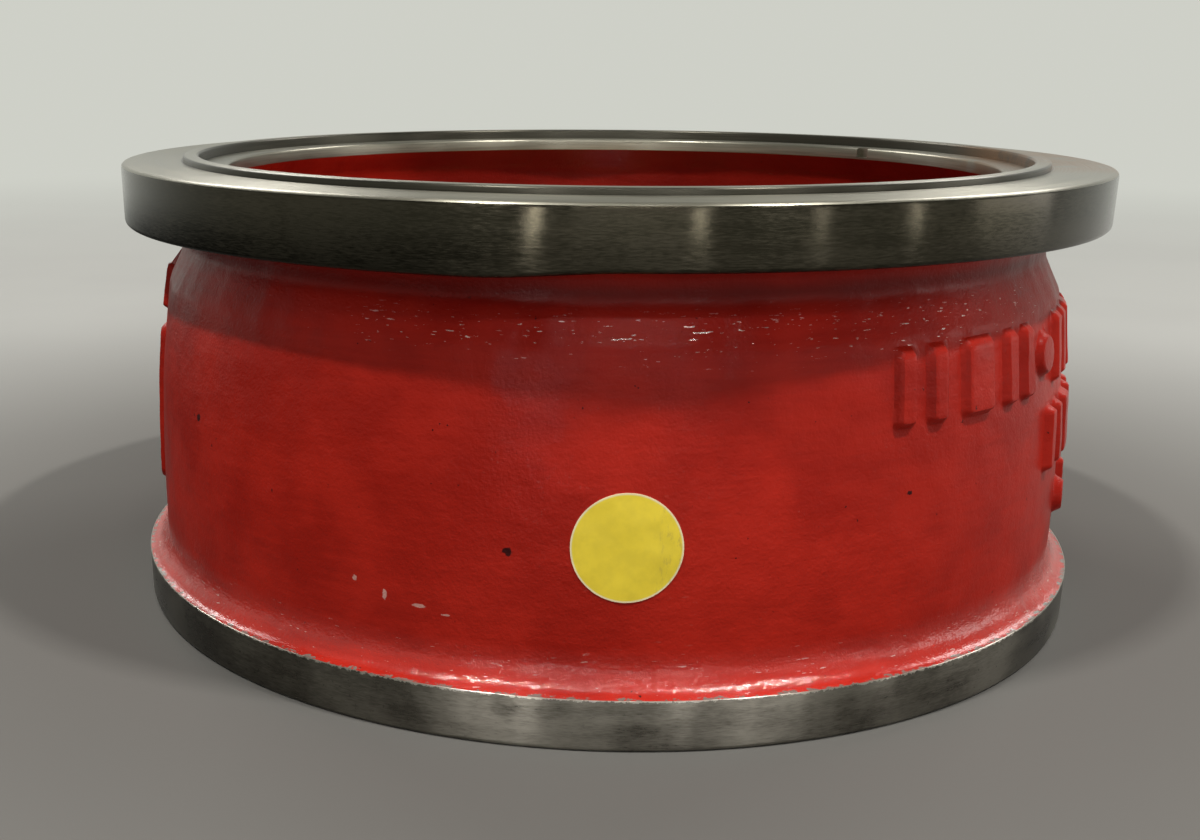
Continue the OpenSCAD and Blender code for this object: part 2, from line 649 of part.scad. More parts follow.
body_casting();
seat_ring();
seat_o_ring();
seat_screws();
inlet_guide();
inlet_guide_screws();
lower_bushing();
disc();
disc_seal();
seal_retainer();
retainer_screws();
stem();
stem_o_ring();
stem_nut();
tab_washer();
thrust_washer();
spring();
outlet_guide();
upper_bushing();
guide_screws();
guide_washers();
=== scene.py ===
"""Wafer non-return valve: the casting, the sticker and the spring are modelled here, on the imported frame.

Every other part keeps its solid from the frame and gets its finish here. Lengths in the classes are millimetres, as
in the part's own source, and meshes are made in metres. Angles round the valve's axis count from the front towards
+X, and the classes have them in degrees.
"""

import logging
import math
from dataclasses import dataclass
from enum import Enum, IntEnum
from functools import cached_property, reduce

import bmesh
import bpy
from mathutils import Matrix, Vector, noise


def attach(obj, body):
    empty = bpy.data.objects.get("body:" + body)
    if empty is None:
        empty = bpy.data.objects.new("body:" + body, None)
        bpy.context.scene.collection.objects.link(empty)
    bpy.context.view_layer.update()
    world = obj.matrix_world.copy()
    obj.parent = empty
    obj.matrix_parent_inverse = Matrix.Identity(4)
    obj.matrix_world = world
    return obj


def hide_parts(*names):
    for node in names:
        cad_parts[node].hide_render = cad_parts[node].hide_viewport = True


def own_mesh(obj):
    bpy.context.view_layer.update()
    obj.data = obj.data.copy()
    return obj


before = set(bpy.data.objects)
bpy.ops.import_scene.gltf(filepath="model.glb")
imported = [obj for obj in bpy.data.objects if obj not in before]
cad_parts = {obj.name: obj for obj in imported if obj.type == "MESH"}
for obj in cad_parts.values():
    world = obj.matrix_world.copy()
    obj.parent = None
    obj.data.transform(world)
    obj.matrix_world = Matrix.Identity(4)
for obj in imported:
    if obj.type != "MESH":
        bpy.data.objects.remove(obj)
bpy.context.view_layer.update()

LOG = logging.getLogger("valve")
MM = 0.001
TURN = 2 * math.pi
MERGE = 1e-7
PHOTO_W, PHOTO_H = 1200, 840
SEEN = ("Camera", "Glossy", "Transmission")

Pair = tuple[float, float]
Colour = tuple[float, float, float]
Place = tuple[float, float, float]
BMesh = bmesh.types.BMesh
Material = bpy.types.Material
Socket = bpy.types.NodeSocket
Value = float | tuple | Socket


def smooth_step(low: float, high: float, value: float) -> float:
    """Share that rises smoothly from 0 at low to 1 at high, which may be the smaller one."""
    share = max(0.0, min(1.0, (value - low) / (high - low)))
    return share * share * (3 - 2 * share)


def radius_of(point: Vector) -> float:
    """Distance of a point from the valve's axis."""
    return math.hypot(point.x, point.y)


def angle_of(point: Vector) -> float:
    """Degrees of a point round the valve's axis."""
    return math.degrees(math.atan2(point.x, -point.y))


def point_at(radius: float, angle: float, z: float) -> Vector:
    """Point at a radius, an angle in radians and a height."""
    return Vector((radius * math.sin(angle), -radius * math.cos(angle), z))


def placed(name: str, data: bpy.types.ID) -> bpy.types.Object:
    """Puts an object into the scene.

    Args:
        name: Its name.
        data: Its mesh, lamp or camera.

    Returns:
        The object, at the origin.
    """
    made = bpy.data.objects.new(name, data)
    bpy.context.scene.collection.objects.link(made)
    return made


def placed_mesh(name: str, bm: BMesh) -> bpy.types.Object:
    """Puts a finished bmesh into the scene.

    Args:
        name: Name of the object and its mesh.
        bm: Its shape, in metres, which is freed.

    Returns:
        The object.
    """
    mesh = bpy.data.meshes.new(name)
    bm.to_mesh(mesh)
    bm.free()
    return placed(name, mesh)


class Graph:
    """Builds the nodes of a material or a world, from its coordinates to its output."""

    def __init__(self, name: str, world: bool = False) -> None:
        """Makes an empty material or world.

        Args:
            name: Its name.
            world: Whether it is a world.
        """
        self.owner = (bpy.data.worlds if world else bpy.data.materials).new(name)
        self.owner.use_nodes = True
        self.tree = self.owner.node_tree
        self.tree.nodes.clear()

    @cached_property
    def point(self) -> Socket:
        """The object's own coordinates."""
        return self.node("ShaderNodeTexCoord").outputs["Object"]

    @cached_property
    def parts(self) -> list[Socket]:
        """Distance to the right of the valve's axis, distance behind it and height above the inlet face."""
        return self.split(self.point)

    @cached_property
    def flat(self) -> Socket:
        """The object's own coordinates with a height of 0."""
        return self.vector_maths("MULTIPLY", self.point, (1.0, 1.0, 0.0))

    @cached_property
    def radius(self) -> Socket:
        """Distance from the valve's axis."""
        return self.vector_maths("LENGTH", self.flat)

    @cached_property
    def z(self) -> Socket:
        """Height above the inlet face."""
        return self.parts[2]

    def node(self, kind: str, inputs: dict | None = None, **settings: object) -> bpy.types.Node:
        """Adds a node.

        Args:
            kind: Blender's name of the node type.
            inputs: Values or sockets for its inputs, by name or number.
            settings: Other properties of the node.

        Returns:
            The new node.
        """
        made = self.tree.nodes.new(kind)
        for name, value in settings.items():
            setattr(made, name, value)
        for name, value in (inputs or {}).items():
            self.feed(made.inputs[name], value)
        return made

    def feed(self, socket: Socket, value: Value) -> None:
        """Links a socket to another, or sets its own value.

        Args:
            socket: The input.
            value: What it gets.
        """
        if isinstance(value, bpy.types.NodeSocket):
            self.tree.links.new(value, socket)
        elif isinstance(value, tuple) and len(value) == 3 and socket.type == "RGBA":
            socket.default_value = (*value, 1.0)
        else:
            socket.default_value = value

    def maths(self, operation: str, a: Value, b: Value = 0.0) -> Socket:
        """Joins two numbers by one of the Math node's operations."""
        return self.node("ShaderNodeMath", {0: a, 1: b}, operation=operation).outputs[0]

    def times(self, *values: Value) -> Socket:
        """Multiplies numbers, from left to right."""
        return reduce(lambda a, b: self.maths("MULTIPLY", a, b), values)

    def plus(self, *values: Value) -> Socket:
        """Adds numbers, from left to right."""
        return reduce(lambda a, b: self.maths("ADD", a, b), values)

    def weighed(self, *parts: tuple[Socket, float]) -> Socket:
        """Adds up values, each times its share."""
        return self.plus(*[self.times(*part) for part in parts])

    def vector_maths(self, operation: str, a: Value, b: Value = (0.0, 0.0, 0.0)) -> Socket:
        """Joins two vectors by one of the Vector Math node's operations, of which two give a number."""
        made = self.node("ShaderNodeVectorMath", {0: a, 1: b}, operation=operation)
        return made.outputs["Value" if operation in ("LENGTH", "DISTANCE") else "Vector"]

    def split(self, vector: Socket) -> list[Socket]:
        """Takes a vector apart."""
        return list(self.node("ShaderNodeSeparateXYZ", {0: vector}).outputs)

    def ray(self, *kinds: str) -> Socket:
        """Whether a ray is of one of these kinds."""
        path = self.node("ShaderNodeLightPath").outputs
        return reduce(lambda a, b: self.maths("MAXIMUM", a, b), [path[f"Is {kind} Ray"] for kind in kinds])

    def noise(self, scale: float | tuple, detail: float = 2.0, rough: float = 0.5, point: Socket | None = None,
              w: Socket | None = None) -> Socket:
        """Reads noise.

        Args:
            scale: How fine it is, as one number or as one along each axis.
            detail: How many finer layers it has.
            rough: How strong the finer layers are.
            point: Coordinates, or None for the object's own.
            w: Fourth coordinate, or None.

        Returns:
            The noise's value, from 0 to 1 and mostly near 0.5.
        """
        point = self.point if point is None else point
        if isinstance(scale, tuple):
            point, scale = self.vector_maths("MULTIPLY", point, scale), 1.0
        inputs = {"Vector": point, "Scale": scale, "Detail": detail, "Roughness": rough}
        if w is not None:
            inputs["W"] = w
        kind = "3D" if w is None else "4D"
        return self.node("ShaderNodeTexNoise", inputs, noise_dimensions=kind).outputs["Fac"]

    def span(self, value: Socket, low: float, high: float, to_low: float = 0.0, to_high: float = 1.0,
             smooth: bool = True) -> Socket:
        """Maps a value from one span to another.

        Args:
            value: The value.
            low: Start of the span that it comes from.
            high: End of that span.
            to_low: What the start becomes.
            to_high: What the end becomes.
            smooth: Whether it leaves one end and reaches the other softly.

        Returns:
            The mapped value, kept inside the new span.
        """
        inputs = {"Value": value, "From Min": low, "From Max": high, "To Min": to_low, "To Max": to_high}
        kind = "SMOOTHSTEP" if smooth else "LINEAR"
        return self.node("ShaderNodeMapRange", inputs, interpolation_type=kind).outputs[0]

    def ramp(self, length: Socket, ends: Pair, to_low: float = 0.0, to_high: float = 1.0) -> Socket:
        """Maps a length from between two ends, which are given in millimetres."""
        return self.span(length, ends[0] * MM, ends[1] * MM, to_low, to_high)

    def zone(self, ends: Pair, edge: float = 3 * MM) -> Socket:
        """Share that is 1 between two heights, with soft ends."""
        rise, fall = [(end * MM - edge, end * MM + edge) for end in ends]
        return self.times(self.span(self.z, *rise), self.span(self.z, *fall, 1.0, 0.0))

    def near(self, place: Place, reach: Pair) -> Socket:
        """Share that falls from 1 to 0 between two distances from a place, all in millimetres."""
        far = self.vector_maths("DISTANCE", self.point, tuple(MM * v for v in place))
        return self.ramp(far, reach, 1.0, 0.0)

    def blend(self, share: Value, a: Value, b: Value) -> Socket:
        """Mixes two colours."""
        return self.node("ShaderNodeMix", {0: share, 6: a, 7: b}, data_type="RGBA").outputs[2]

    def mix_value(self, share: Value, a: Value, b: Value) -> Socket:
        """Mixes two numbers."""
        return self.node("ShaderNodeMix", {0: share, 2: a, 3: b}, data_type="FLOAT").outputs[0]

    def turned(self, fine: float, round_share: float, detail: float = 2.0) -> Socket:
        """Noise drawn out along the cutter's path, as turning leaves it on a part that spins on the valve's axis.

        Args:
            fine: How many lines there are to a metre, across the path.
            round_share: How often a line changes on its way round.
            detail: How many finer layers it has.

        Returns:
            The noise's value.
        """
        part = self.split(self.vector_maths("NORMALIZE", self.flat))
        place = self.node("ShaderNodeCombineXYZ", {
            0: self.times(self.radius, fine), 1: self.times(self.z, fine), 2: self.times(part[0], round_share)})
        return self.noise(1.0, detail, 0.6, place.outputs[0], self.times(part[1], round_share))

    def round_way(self) -> Socket:
        """Direction round the valve's axis, in which turning leaves its lines.

        Returns:
            The direction, as a tangent.
        """
        way = self.vector_maths("CROSS_PRODUCT", (0.0, 0.0, 1.0), self.point)
        there = self.node("ShaderNodeVectorTransform", {0: way}, vector_type="VECTOR", convert_from="OBJECT",
                          convert_to="WORLD")
        return self.vector_maths("NORMALIZE", there.outputs[0])

    def spot(self, place: Pair, size: Pair, radius: float, ragged: Socket, skin: float = 12.0) -> Socket:
        """A small ragged spot on the belly.

        Args:
            place: Its angle and its height.
            size: Its half width and half height.
            radius: Radius of the belly there.
            ragged: Noise that breaks up its edge.
            skin: How far below that radius it ends.

        Returns:
            A share that is 1 inside it.
        """
        angle = self.maths("ARCTAN2", self.parts[0], self.times(self.parts[1], -1.0))
        across = self.times(self.maths("SUBTRACT", angle, math.radians(place[0])), radius / size[0])
        up = self.times(self.maths("SUBTRACT", self.z, place[1] * MM), 1 / (size[1] * MM))
        point = self.node("ShaderNodeCombineXYZ", {0: across, 1: up})
        far = self.plus(self.vector_maths("LENGTH", point.outputs[0]), self.span(ragged, 0.3, 0.7, -0.5, 0.5))
        outside = self.ramp(self.radius, (radius - skin, radius - skin + 1))
        return self.times(self.span(far, 0.7, 1.1, 1.0, 0.0), outside)

    def bump(self, height: Socket, depth: float, strength: float = 1.0, under: Socket | None = None) -> Socket:
        """Turns a height into a normal.

        Args:
            height: The height, from 0 to 1.
            depth: What a height of 1 is, in millimetres.
            strength: Share of the effect.
            under: Normal of the coarser bumps below it.

        Returns:
            The normal.
        """
        inputs = {"Height": height, "Distance": depth * MM, "Strength": strength}
        if under is not None:
            inputs["Normal"] = under
        return self.node("ShaderNodeBump", inputs).outputs[0]

    def finish(self, colour: Value, roughness: Value, normal: Socket, metallic: Value = 0.0,
               **others: Value) -> Material:
        """Closes the graph with a principled surface.

        Args:
            colour: Base colour.
            roughness: Roughness.
            normal: Normal.
            metallic: Share of metal.
            others: Further inputs, with low lines for the spaces of their names.

        Returns:
            The finished material.
        """
        inputs = {"Base Color": colour, "Roughness": roughness, "Metallic": metallic, "Normal": normal}
        inputs |= {name.replace("_", " "): value for name, value in others.items()}
        shader = self.node("ShaderNodeBsdfPrincipled", inputs)
        self.node("ShaderNodeOutputMaterial", {"Surface": shader.outputs[0]})
        return self.owner


@dataclass(frozen=True)
class Enamel:
    """Glossy red enamel, brushed thick over a sand casting."""

    name: str = "red_enamel"
    bright: Colour = (0.43, 0.018, 0.009)
    deep: Colour = (0.33, 0.012, 0.006)
    inner_shade: Colour = (0.13, 0.005, 0.003)
    worn: Colour = (0.45, 0.08, 0.06)
    # Painted shade: colour laid on the passage's wall inside the neck, where shade falls.
    chip: Colour = (0.60, 0.34, 0.29)
    pit: Colour = (0.035, 0.004, 0.004)
    iron: Colour = (0.16, 0.14, 0.12)
    # Colour of the painted glints and highlights.
    glint: Colour = (0.90, 0.78, 0.70)
    # Painted shade for the neck's lower band, under the flange.
    neck_shade: Colour = (0.07, 0.003, 0.002)
    rim_z: float = 13.0
    rim_low: Pair = (8.0, 9.0)
    rim_r: Pair = (136.0, 137.0)
    belly_r: float = 133.5
    outer_r: Pair = (121.0, 123.0)
    inner_shade_r: Pair = (116.0, 121.0)
    inner_shade_z: Pair = (70.0, 106.0)
    inner_lit_x: Pair = (-88.0, -62.0)
    shoulder: Pair = (88.0, 97.5)
    shoulder_rise: Pair = (88.0, 98.0)
    # Where the painted glints gather most: angle and height, then half width and half height.
    glint_patch: tuple[Pair, Pair] = ((16.0, 92.0), (92.0, 9.0))
    groove: Pair = (100.0, 105.0)
    cove: Pair = (12.0, 21.0)
    holes: tuple[tuple[Pair, Pair], ...] = (
        ((-8.7, 45.5), (1.0, 0.85)), ((32.8, 55.5), (0.7, 0.5)), ((-52.0, 62.0), (0.9, 0.8)),
        ((118.0, 40.0), (1.2, 1.0)), ((-150.0, 70.0), (1.3, 0.9)))
    chips: tuple[tuple[Pair, Pair], ...] = (
        ((-25.4, 33.8), (0.7, 0.7)), ((-21.7, 31.7), (0.5, 1.4)), ((-17.8, 30.0), (1.5, 0.35)),
        ((-15.0, 28.6), (1.2, 0.3)), ((84.0, 30.0), (1.2, 0.5)), ((160.0, 33.0), (0.9, 0.6)))

    def marked(self, graph: Graph, colour: Socket, ragged: Socket, where: Socket) -> Socket:
        """Lays pits, scuffs, holes and chips over the paint.

        Args:
            graph: The material's graph.
            colour: The paint's colour.
            ragged: Noise that breaks up their edges.
            where: Broad noise that says where scuffs are.

        Returns:
            The colour with them.
        """
        speck = graph.noise(620.0, 2.0, 0.6)
        patch = graph.noise(95.0, 1.0, 0.5)
        pits = graph.times(graph.span(speck, 0.70, 0.76), graph.span(patch, 0.55, 0.62))
        colour = graph.blend(pits, colour, self.pit)
        scuff = graph.noise((260, 260, 900), 3.0, 0.7)
        scuffs = graph.times(graph.span(scuff, 0.67, 0.73), graph.span(where, 0.58, 0.66))
        colour = graph.blend(graph.times(scuffs, 0.5), colour, self.worn)
        for place, size in self.holes:
            colour = graph.blend(graph.spot(place, size, self.belly_r, ragged), colour, self.pit)
        for place, size in self.chips:
            share = graph.times(graph.spot(place, size, self.belly_r, ragged), 0.8)
            colour = graph.blend(share, colour, self.chip)
        return colour

    def glints(self, graph: Graph, outer: Socket, ragged: Socket, where: Socket) -> Socket:
        """Painted glints: small near-white metallic specks under the neck, and painted highlights along the cove.

        Args:
            graph: The material's graph.
            outer: Share that is 1 outside the neck.
            ragged: Noise that breaks up the glint patch's edge.
            where: Broad noise that says where more glints are.

        Returns:
            A share that is 1 on them.
        """
        glint_noise = graph.plus(graph.noise((380, 380, 2300), 3.0, 0.6), graph.ramp(graph.z, self.shoulder_rise, 0.0, 0.05))
        thick = graph.maths("MAXIMUM", graph.spot(*self.glint_patch, self.belly_r, ragged), graph.span(where, 0.54, 0.66))
        high = graph.times(graph.zone(self.shoulder), thick, outer)
        glint_specks = graph.times(graph.span(glint_noise, 0.68, 0.72, 0.0, 0.75), high)
        cove_glint_noise = graph.noise((260, 260, 1700), 3.0, 0.6)
        # Painted highlights along the cove, as thin near-white streaks.
        runs = graph.times(graph.span(cove_glint_noise, 0.67, 0.71, 0.0, 0.5), graph.zone(self.cove))
        return graph.maths("MAXIMUM", glint_specks, runs)

    def make(self) -> Material:
        """Makes the material.

        Returns:
            Enamel with mottling, brush lines, pits, chips and orange peel, with painted shade in the passage and the
            neck, and painted glints and highlights.
        """
        graph = Graph(self.name)
        tone = graph.weighed((graph.noise(42.0, 3.0, 0.55), 0.75), (graph.noise((60, 60, 700), 3.0, 0.6), 0.25))
        colour = graph.blend(graph.span(tone, 0.36, 0.62), self.deep, self.bright)
        dab = graph.noise((60, 60, 180), 3.0, 0.6)
        colour = graph.blend(graph.span(dab, 0.56, 0.78, 0.0, 0.3), colour, self.deep)
        ragged = graph.noise(420.0, 3.0, 0.7)
        where = graph.noise(24.0, 2.0, 0.5)
        colour = self.marked(graph, colour, ragged, where)
        line = graph.plus(graph.z, graph.span(ragged, 0.3, 0.7, -0.22 * MM, 0.22 * MM))
        bare = graph.times(graph.ramp(line, (self.rim_z - 0.02, self.rim_z + 0.06), 1.0, 0.0),
                           graph.ramp(graph.z, self.rim_low), graph.ramp(graph.radius, self.rim_r))
        colour = graph.blend(bare, colour, self.iron)
        # Painted shade: the passage's wall inside the neck is darkened, less so on its far left, where lamp light
        # reaches it.
        inside = graph.times(graph.ramp(graph.radius, self.inner_shade_r, 1.0, 0.0), graph.ramp(graph.z, self.inner_shade_z),
                             graph.ramp(graph.parts[0], self.inner_lit_x, 0.0, 0.75))
        colour = graph.blend(inside, colour, self.inner_shade)
        outer = graph.ramp(graph.radius, self.outer_r)
        # Painted shade: the lower band of the neck, above the shoulder's crease and under the flange, is darkened.
        colour = graph.blend(graph.times(graph.zone(self.groove), outer, 0.75), colour, self.neck_shade)
        glints = self.glints(graph, outer, ragged, where)
        # Painted glints and highlights: near-white metallic colour under the neck and along the cove.
        colour = graph.blend(glints, colour, self.glint)
        normal = graph.bump(graph.noise(300.0, 5.0, 0.65), 0.38, 0.6)
        normal = graph.bump(graph.noise(1500.0, 2.0, 0.5), 0.09, 0.8, normal)
        wet = graph.zone(self.cove)
        gloss = graph.bump(graph.times(graph.noise((260, 260, 620), 3.0, 0.6), wet), 0.3, 1.0, normal)
        rough = graph.mix_value(bare, graph.span(tone, 0.3, 0.7, 0.30, 0.42), 0.35)
        rough = graph.mix_value(glints, rough, 0.22)
        return graph.finish(colour, rough, normal, glints, Coat_Roughness=0.06, Specular_IOR_Level=0.08,
                            Coat_Weight=graph.mix_value(wet, 0.08, 1.0), Coat_Normal=gloss)


@dataclass(frozen=True)
class TurnedIron:
    """Bare grey iron, turned: fine lines run round the axis, with dark pores and a little rust."""

    name: str
    dark: Colour = (0.032, 0.029, 0.020)
    light: Colour = (0.065, 0.058, 0.042)
    lines: float = 3200.0
    roughness: float = 0.19
    depth: float = 0.016
    grained: float = 1.0
    runs: float = 60.0
    mottle: float = 0.25
    pore: Colour = (0.02, 0.018, 0.015)
    pore_share: float = 0.72
    # Painted shade: colour of thin dark rings laid at given radii, on the walls and edges of the outlet face's raised
    # ridge.
    ridge_shade: Colour = (0.03, 0.028, 0.022)
    ridge_shade_radii: tuple[float, ...] = ()
    rust: Colour = (0.28, 0.14, 0.06)
    rust_at: Place | None = None
    rust_reach: Pair = (18.0, 58.0)
    # Painted reflection: a lighter mottled patch round a given place.
    painted_sheen: Colour = (0.34, 0.318, 0.275)
    painted_sheen_at: Place | None = None
    painted_sheen_reach: Pair = (15.0, 120.0)
    # Pale colour of the top edge band: partly real wear, partly a painted highlight.
    worn: Colour = (0.55, 0.52, 0.46)
    wear_and_highlight_z: float | None = None

    def make(self) -> Material:
        """Makes the material.

        Returns:
            Turned iron whose lines run round the valve's axis.
        """
        graph = Graph(self.name)
        line = graph.turned(self.lines, self.runs, 3.0)
        band = graph.turned(self.lines / 9, 5.0, 2.0)
        tone = graph.weighed((line, 0.8 - self.mottle), (band, 0.2), (graph.noise(38.0, 3.0, 0.6), self.mottle))
        colour = graph.blend(graph.span(tone, 0.38, 0.62), self.dark, self.light)
        pores = graph.span(graph.noise(1100.0, 2.0, 0.6), self.pore_share, self.pore_share + 0.05)
        colour = graph.blend(graph.times(pores, 0.8), colour, self.pore)
        # Painted shade: thin dark rings on the raised ridge's walls and edges.
        for radius in self.ridge_shade_radii:
            off = graph.maths("ABSOLUTE", graph.maths("SUBTRACT", graph.radius, radius * MM))
            colour = graph.blend(graph.ramp(off, (0.2, 0.8), 0.85, 0.0), colour, self.ridge_shade)
        if self.rust_at is not None:
            stain = graph.span(graph.noise(90.0, 4.0, 0.65), 0.25, 0.55)
            colour = graph.blend(graph.times(graph.near(self.rust_at, self.rust_reach), stain, 0.7), colour, self.rust)
        # Painted reflection: a lighter mottled patch round a given place, used on the foot's front, where it reflects
        # the lit floor.
        if self.painted_sheen_at is not None:
            share = graph.times(graph.near(self.painted_sheen_at, self.painted_sheen_reach), graph.span(tone, 0.34, 0.62, 0.3, 1.0))
            colour = graph.blend(graph.times(share, 0.8), colour, self.painted_sheen)
        # Wear and painted highlight: a pale ragged band along the top edge, above a given height, partly worn iron and
        # partly a painted highlight on the edge.
        if self.wear_and_highlight_z is not None:
            edge = graph.plus(graph.z, graph.span(graph.noise(700.0, 3.0, 0.7), 0.3, 0.7, -0.4 * MM, 0.4 * MM))
            colour = graph.blend(graph.ramp(edge, (self.wear_and_highlight_z - 0.1, self.wear_and_highlight_z + 0.1)), colour, self.worn)
        normal = graph.bump(line, self.depth)
        normal = graph.bump(band, 2 * self.depth, 0.5, normal)
        rough = graph.span(tone, 0.3, 0.7, self.roughness - 0.05, self.roughness + 0.08)
        return graph.finish(colour, rough, normal, 1.0, Anisotropic=self.grained, Anisotropic_Rotation=0.25,
                            Tangent=graph.round_way())


@dataclass(frozen=True)
class CastMetal:
    """Sand-cast metal that was left as it came from the mould, and cleaned."""

    name: str
    dark: Colour
    light: Colour
    roughness: float = 0.46

    def make(self) -> Material:
        """Makes the material.

        Returns:
            Metal with the mould's grain and darker patches.
        """
        graph = Graph(self.name)
        grain = graph.noise(900.0, 4.0, 0.65)
        tone = graph.weighed((grain, 0.45), (graph.noise(60.0, 3.0, 0.6), 0.55))
        colour = graph.blend(graph.span(tone, 0.36, 0.64), self.dark, self.light)
        rough = graph.span(tone, 0.3, 0.7, self.roughness - 0.07, self.roughness + 0.09)
        return graph.finish(colour, rough, graph.bump(grain, 0.22, 0.8), 1.0)


@dataclass(frozen=True)
class FineMetal:
    """Metal that was turned or drawn fine, on parts that don't all share the valve's axis."""

    name: str
    dark: Colour
    light: Colour
    roughness: float = 0.24
    turned: bool = True

    def make(self) -> Material:
        """Makes the material.

        Returns:
            Metal with faint lines or faint cloudy wear.
        """
        graph = Graph(self.name)
        line = graph.turned(4200.0, 2.0) if self.turned else graph.noise((500, 500, 2600), 3.0)
        tone = graph.weighed((line, 0.5), (graph.noise(120.0, 3.0, 0.6), 0.5))
        colour = graph.blend(graph.span(tone, 0.36, 0.64), self.dark, self.light)
        rough = graph.span(tone, 0.3, 0.7, self.roughness - 0.05, self.roughness + 0.08)
        return graph.finish(colour, rough, graph.bump(line, 0.010, 0.8), 1.0)


@dataclass(frozen=True)
class Rubber:
    """Black moulded rubber with a dusty bloom."""

    name: str = "moulded_rubber"
    dark: Colour = (0.012, 0.012, 0.013)
    dust: Colour = (0.05, 0.049, 0.047)

    def make(self) -> Material:
        """Makes the material.

        Returns:
            Matt rubber.
        """
        graph = Graph(self.name)
        bloom = graph.noise(160.0, 4.0, 0.65)
        colour = graph.blend(graph.span(bloom, 0.42, 0.7), self.dark, self.dust)
        normal = graph.bump(graph.noise(1600.0), 0.03, 0.7)
        return graph.finish(colour, graph.span(bloom, 0.3, 0.7, 0.5, 0.68), normal)


@dataclass(frozen=True)
class DotPaper:
    """Yellow sticker paper with a pale cut edge and a smear of dirt."""

    name: str = "yellow_paper"
    yellow: Colour = (0.86, 0.66, 0.035)
    faded: float = 0.90
    edge: Colour = (0.86, 0.74, 0.45)
    dirt: Colour = (0.30, 0.20, 0.08)

    def make(self) -> Material:
        """Makes the material.

        Returns:
            Paper that reads the sticker's own UV map, in which a unit is its radius.
        """
        graph = Graph(self.name)
        place = graph.node("ShaderNodeUVMap", uv_map="flat").outputs[0]
        cloud = graph.noise(2.2, 3.0, 0.6, place)
        paler = tuple(self.faded * v for v in self.yellow)
        colour = graph.blend(graph.span(cloud, 0.35, 0.65), self.yellow, paler)
        colour = graph.blend(graph.span(graph.vector_maths("LENGTH", place), 0.955, 0.985), colour, self.edge)
        smear = graph.noise((9.0, 3.0, 1.0), 4.0, 0.7, place)
        right = graph.span(graph.split(place)[0], 0.35, 0.8)
        colour = graph.blend(graph.times(right, graph.span(smear, 0.5, 0.72, 0.0, 0.55)), colour, self.dirt)
        fibre = graph.noise((60.0, 60.0, 1.0), 3.0, 0.5, place)
        return graph.finish(colour, graph.span(fibre, 0.3, 0.7, 0.42, 0.55), graph.bump(fibre, 0.02, 0.5),
                            Coat_Weight=0.15, Coat_Roughness=0.3)


class Finish(Enum):
    """Every finish, by what has it."""

    ENAMEL = Enamel()
    RIM = TurnedIron("turned_rim")
    # The foot has lighter colours than the rim and a painted sheen at the front: both are painted reflection of the
    # lit floor.
    FOOT = TurnedIron("turned_foot", (0.062, 0.056, 0.045), (0.16, 0.148, 0.122), roughness=0.30, mottle=0.5,
                      pore_share=0.66, painted_sheen_at=(12.0, -139.0, 6.0), wear_and_highlight_z=12.7)
    FACE = TurnedIron("turned_face", (0.197, 0.187, 0.150), (0.283, 0.270, 0.220), lines=2600.0, roughness=0.34,
                      depth=0.010, grained=0.75, runs=3.0, mottle=0.2, pore_share=0.74, ridge_shade_radii=(123.0, 118.6),
                      rust_at=(132.0, -4.0, 124.0))
    STEEL = FineMetal("turned_steel", (0.42, 0.42, 0.41), (0.60, 0.60, 0.58))
    SCREWS = FineMetal("plain_steel", (0.40, 0.40, 0.39), (0.56, 0.56, 0.55), 0.30, turned=False)
    BRONZE = CastMetal("cast_bronze", (0.20, 0.115, 0.045), (0.36, 0.22, 0.095))
    BEARING = FineMetal("bearing_bronze", (0.50, 0.31, 0.13), (0.66, 0.44, 0.21), 0.26)
    WIRE = FineMetal("spring_wire", (0.36, 0.36, 0.355), (0.52, 0.52, 0.51), 0.28, turned=False)
    RUBBER = Rubber()
    PAPER = DotPaper()

    @property
    def material(self) -> Material:
        """Its material, once it is made."""
        return bpy.data.materials[self.value.name]


class Skin(IntEnum):
    """Material slots of the casting, each named as its finish is."""

    ENAMEL = 0
    RIM = 1
    FACE = 2
    FOOT = 3


class MarkKind(Enum):
    """Shapes of the plain raised marks on the casting."""

    BAR = "bar"
    STUD = "stud"
    ARROW = "arrow"
    PLATE = "plate"


@dataclass(frozen=True)
class Mark:
    """One raised mark on the belly, by the angle and height of its middle."""

    kind: MarkKind
    angle: float
    z: float
    width: float
    height: float
    rise: float
    head_share: float = 0.42
    shaft_share: float = 0.17
    bar_round: float = 1.2
    plate_round: float = 4.0

    def outside(self, x: float, y: float) -> float:
        """Distance from the mark's outline, negative inside it.

        Args:
            x: Place along the surface, from the mark's middle.
            y: Place above the mark's middle.

        Returns:
            The distance.
        """
        if self.kind is MarkKind.STUD:
            return math.hypot(x, y) - self.width / 2
        if self.kind is MarkKind.ARROW:
            head = self.height * self.head_share
            shaft = self.box(x, y + head / 2, self.width * self.shaft_share, (self.height - head) / 2)
            slope = self.width / 2 / head
            from_top = self.height / 2 - y
            side = (abs(x) - from_top * slope) / math.hypot(1, slope)
            return min(shaft, max(side, from_top - head))
        return self.box(x, y, self.width / 2, self.height / 2)

    def box(self, x: float, y: float, half_w: float, half_h: float) -> float:
        """Distance from a box with rounded corners.

        Args:
            x: Place across, from its middle.
            y: Place above its middle.
            half_w: Half its width.
            half_h: Half its height.

        Returns:
            The distance, negative inside it.
        """
        corner = self.plate_round if self.kind is MarkKind.PLATE else min(self.bar_round, half_w * 0.6)
        dx, dy = abs(x) - half_w + corner, abs(y) - half_h + corner
        return math.hypot(max(dx, 0), max(dy, 0)) + min(max(dx, dy), 0) - corner


def row(z: float, height: float, rise: float, bars: dict[float, float], studs: dict[float, float]) -> list[Mark]:
    """Plain raised bars and round studs on one line, each with its width by its angle; height is that of the bars."""
    made = [Mark(MarkKind.BAR, angle, z, width, height, rise) for angle, width in bars.items()]
    return made + [Mark(MarkKind.STUD, angle, z, width, width, rise) for angle, width in studs.items()]


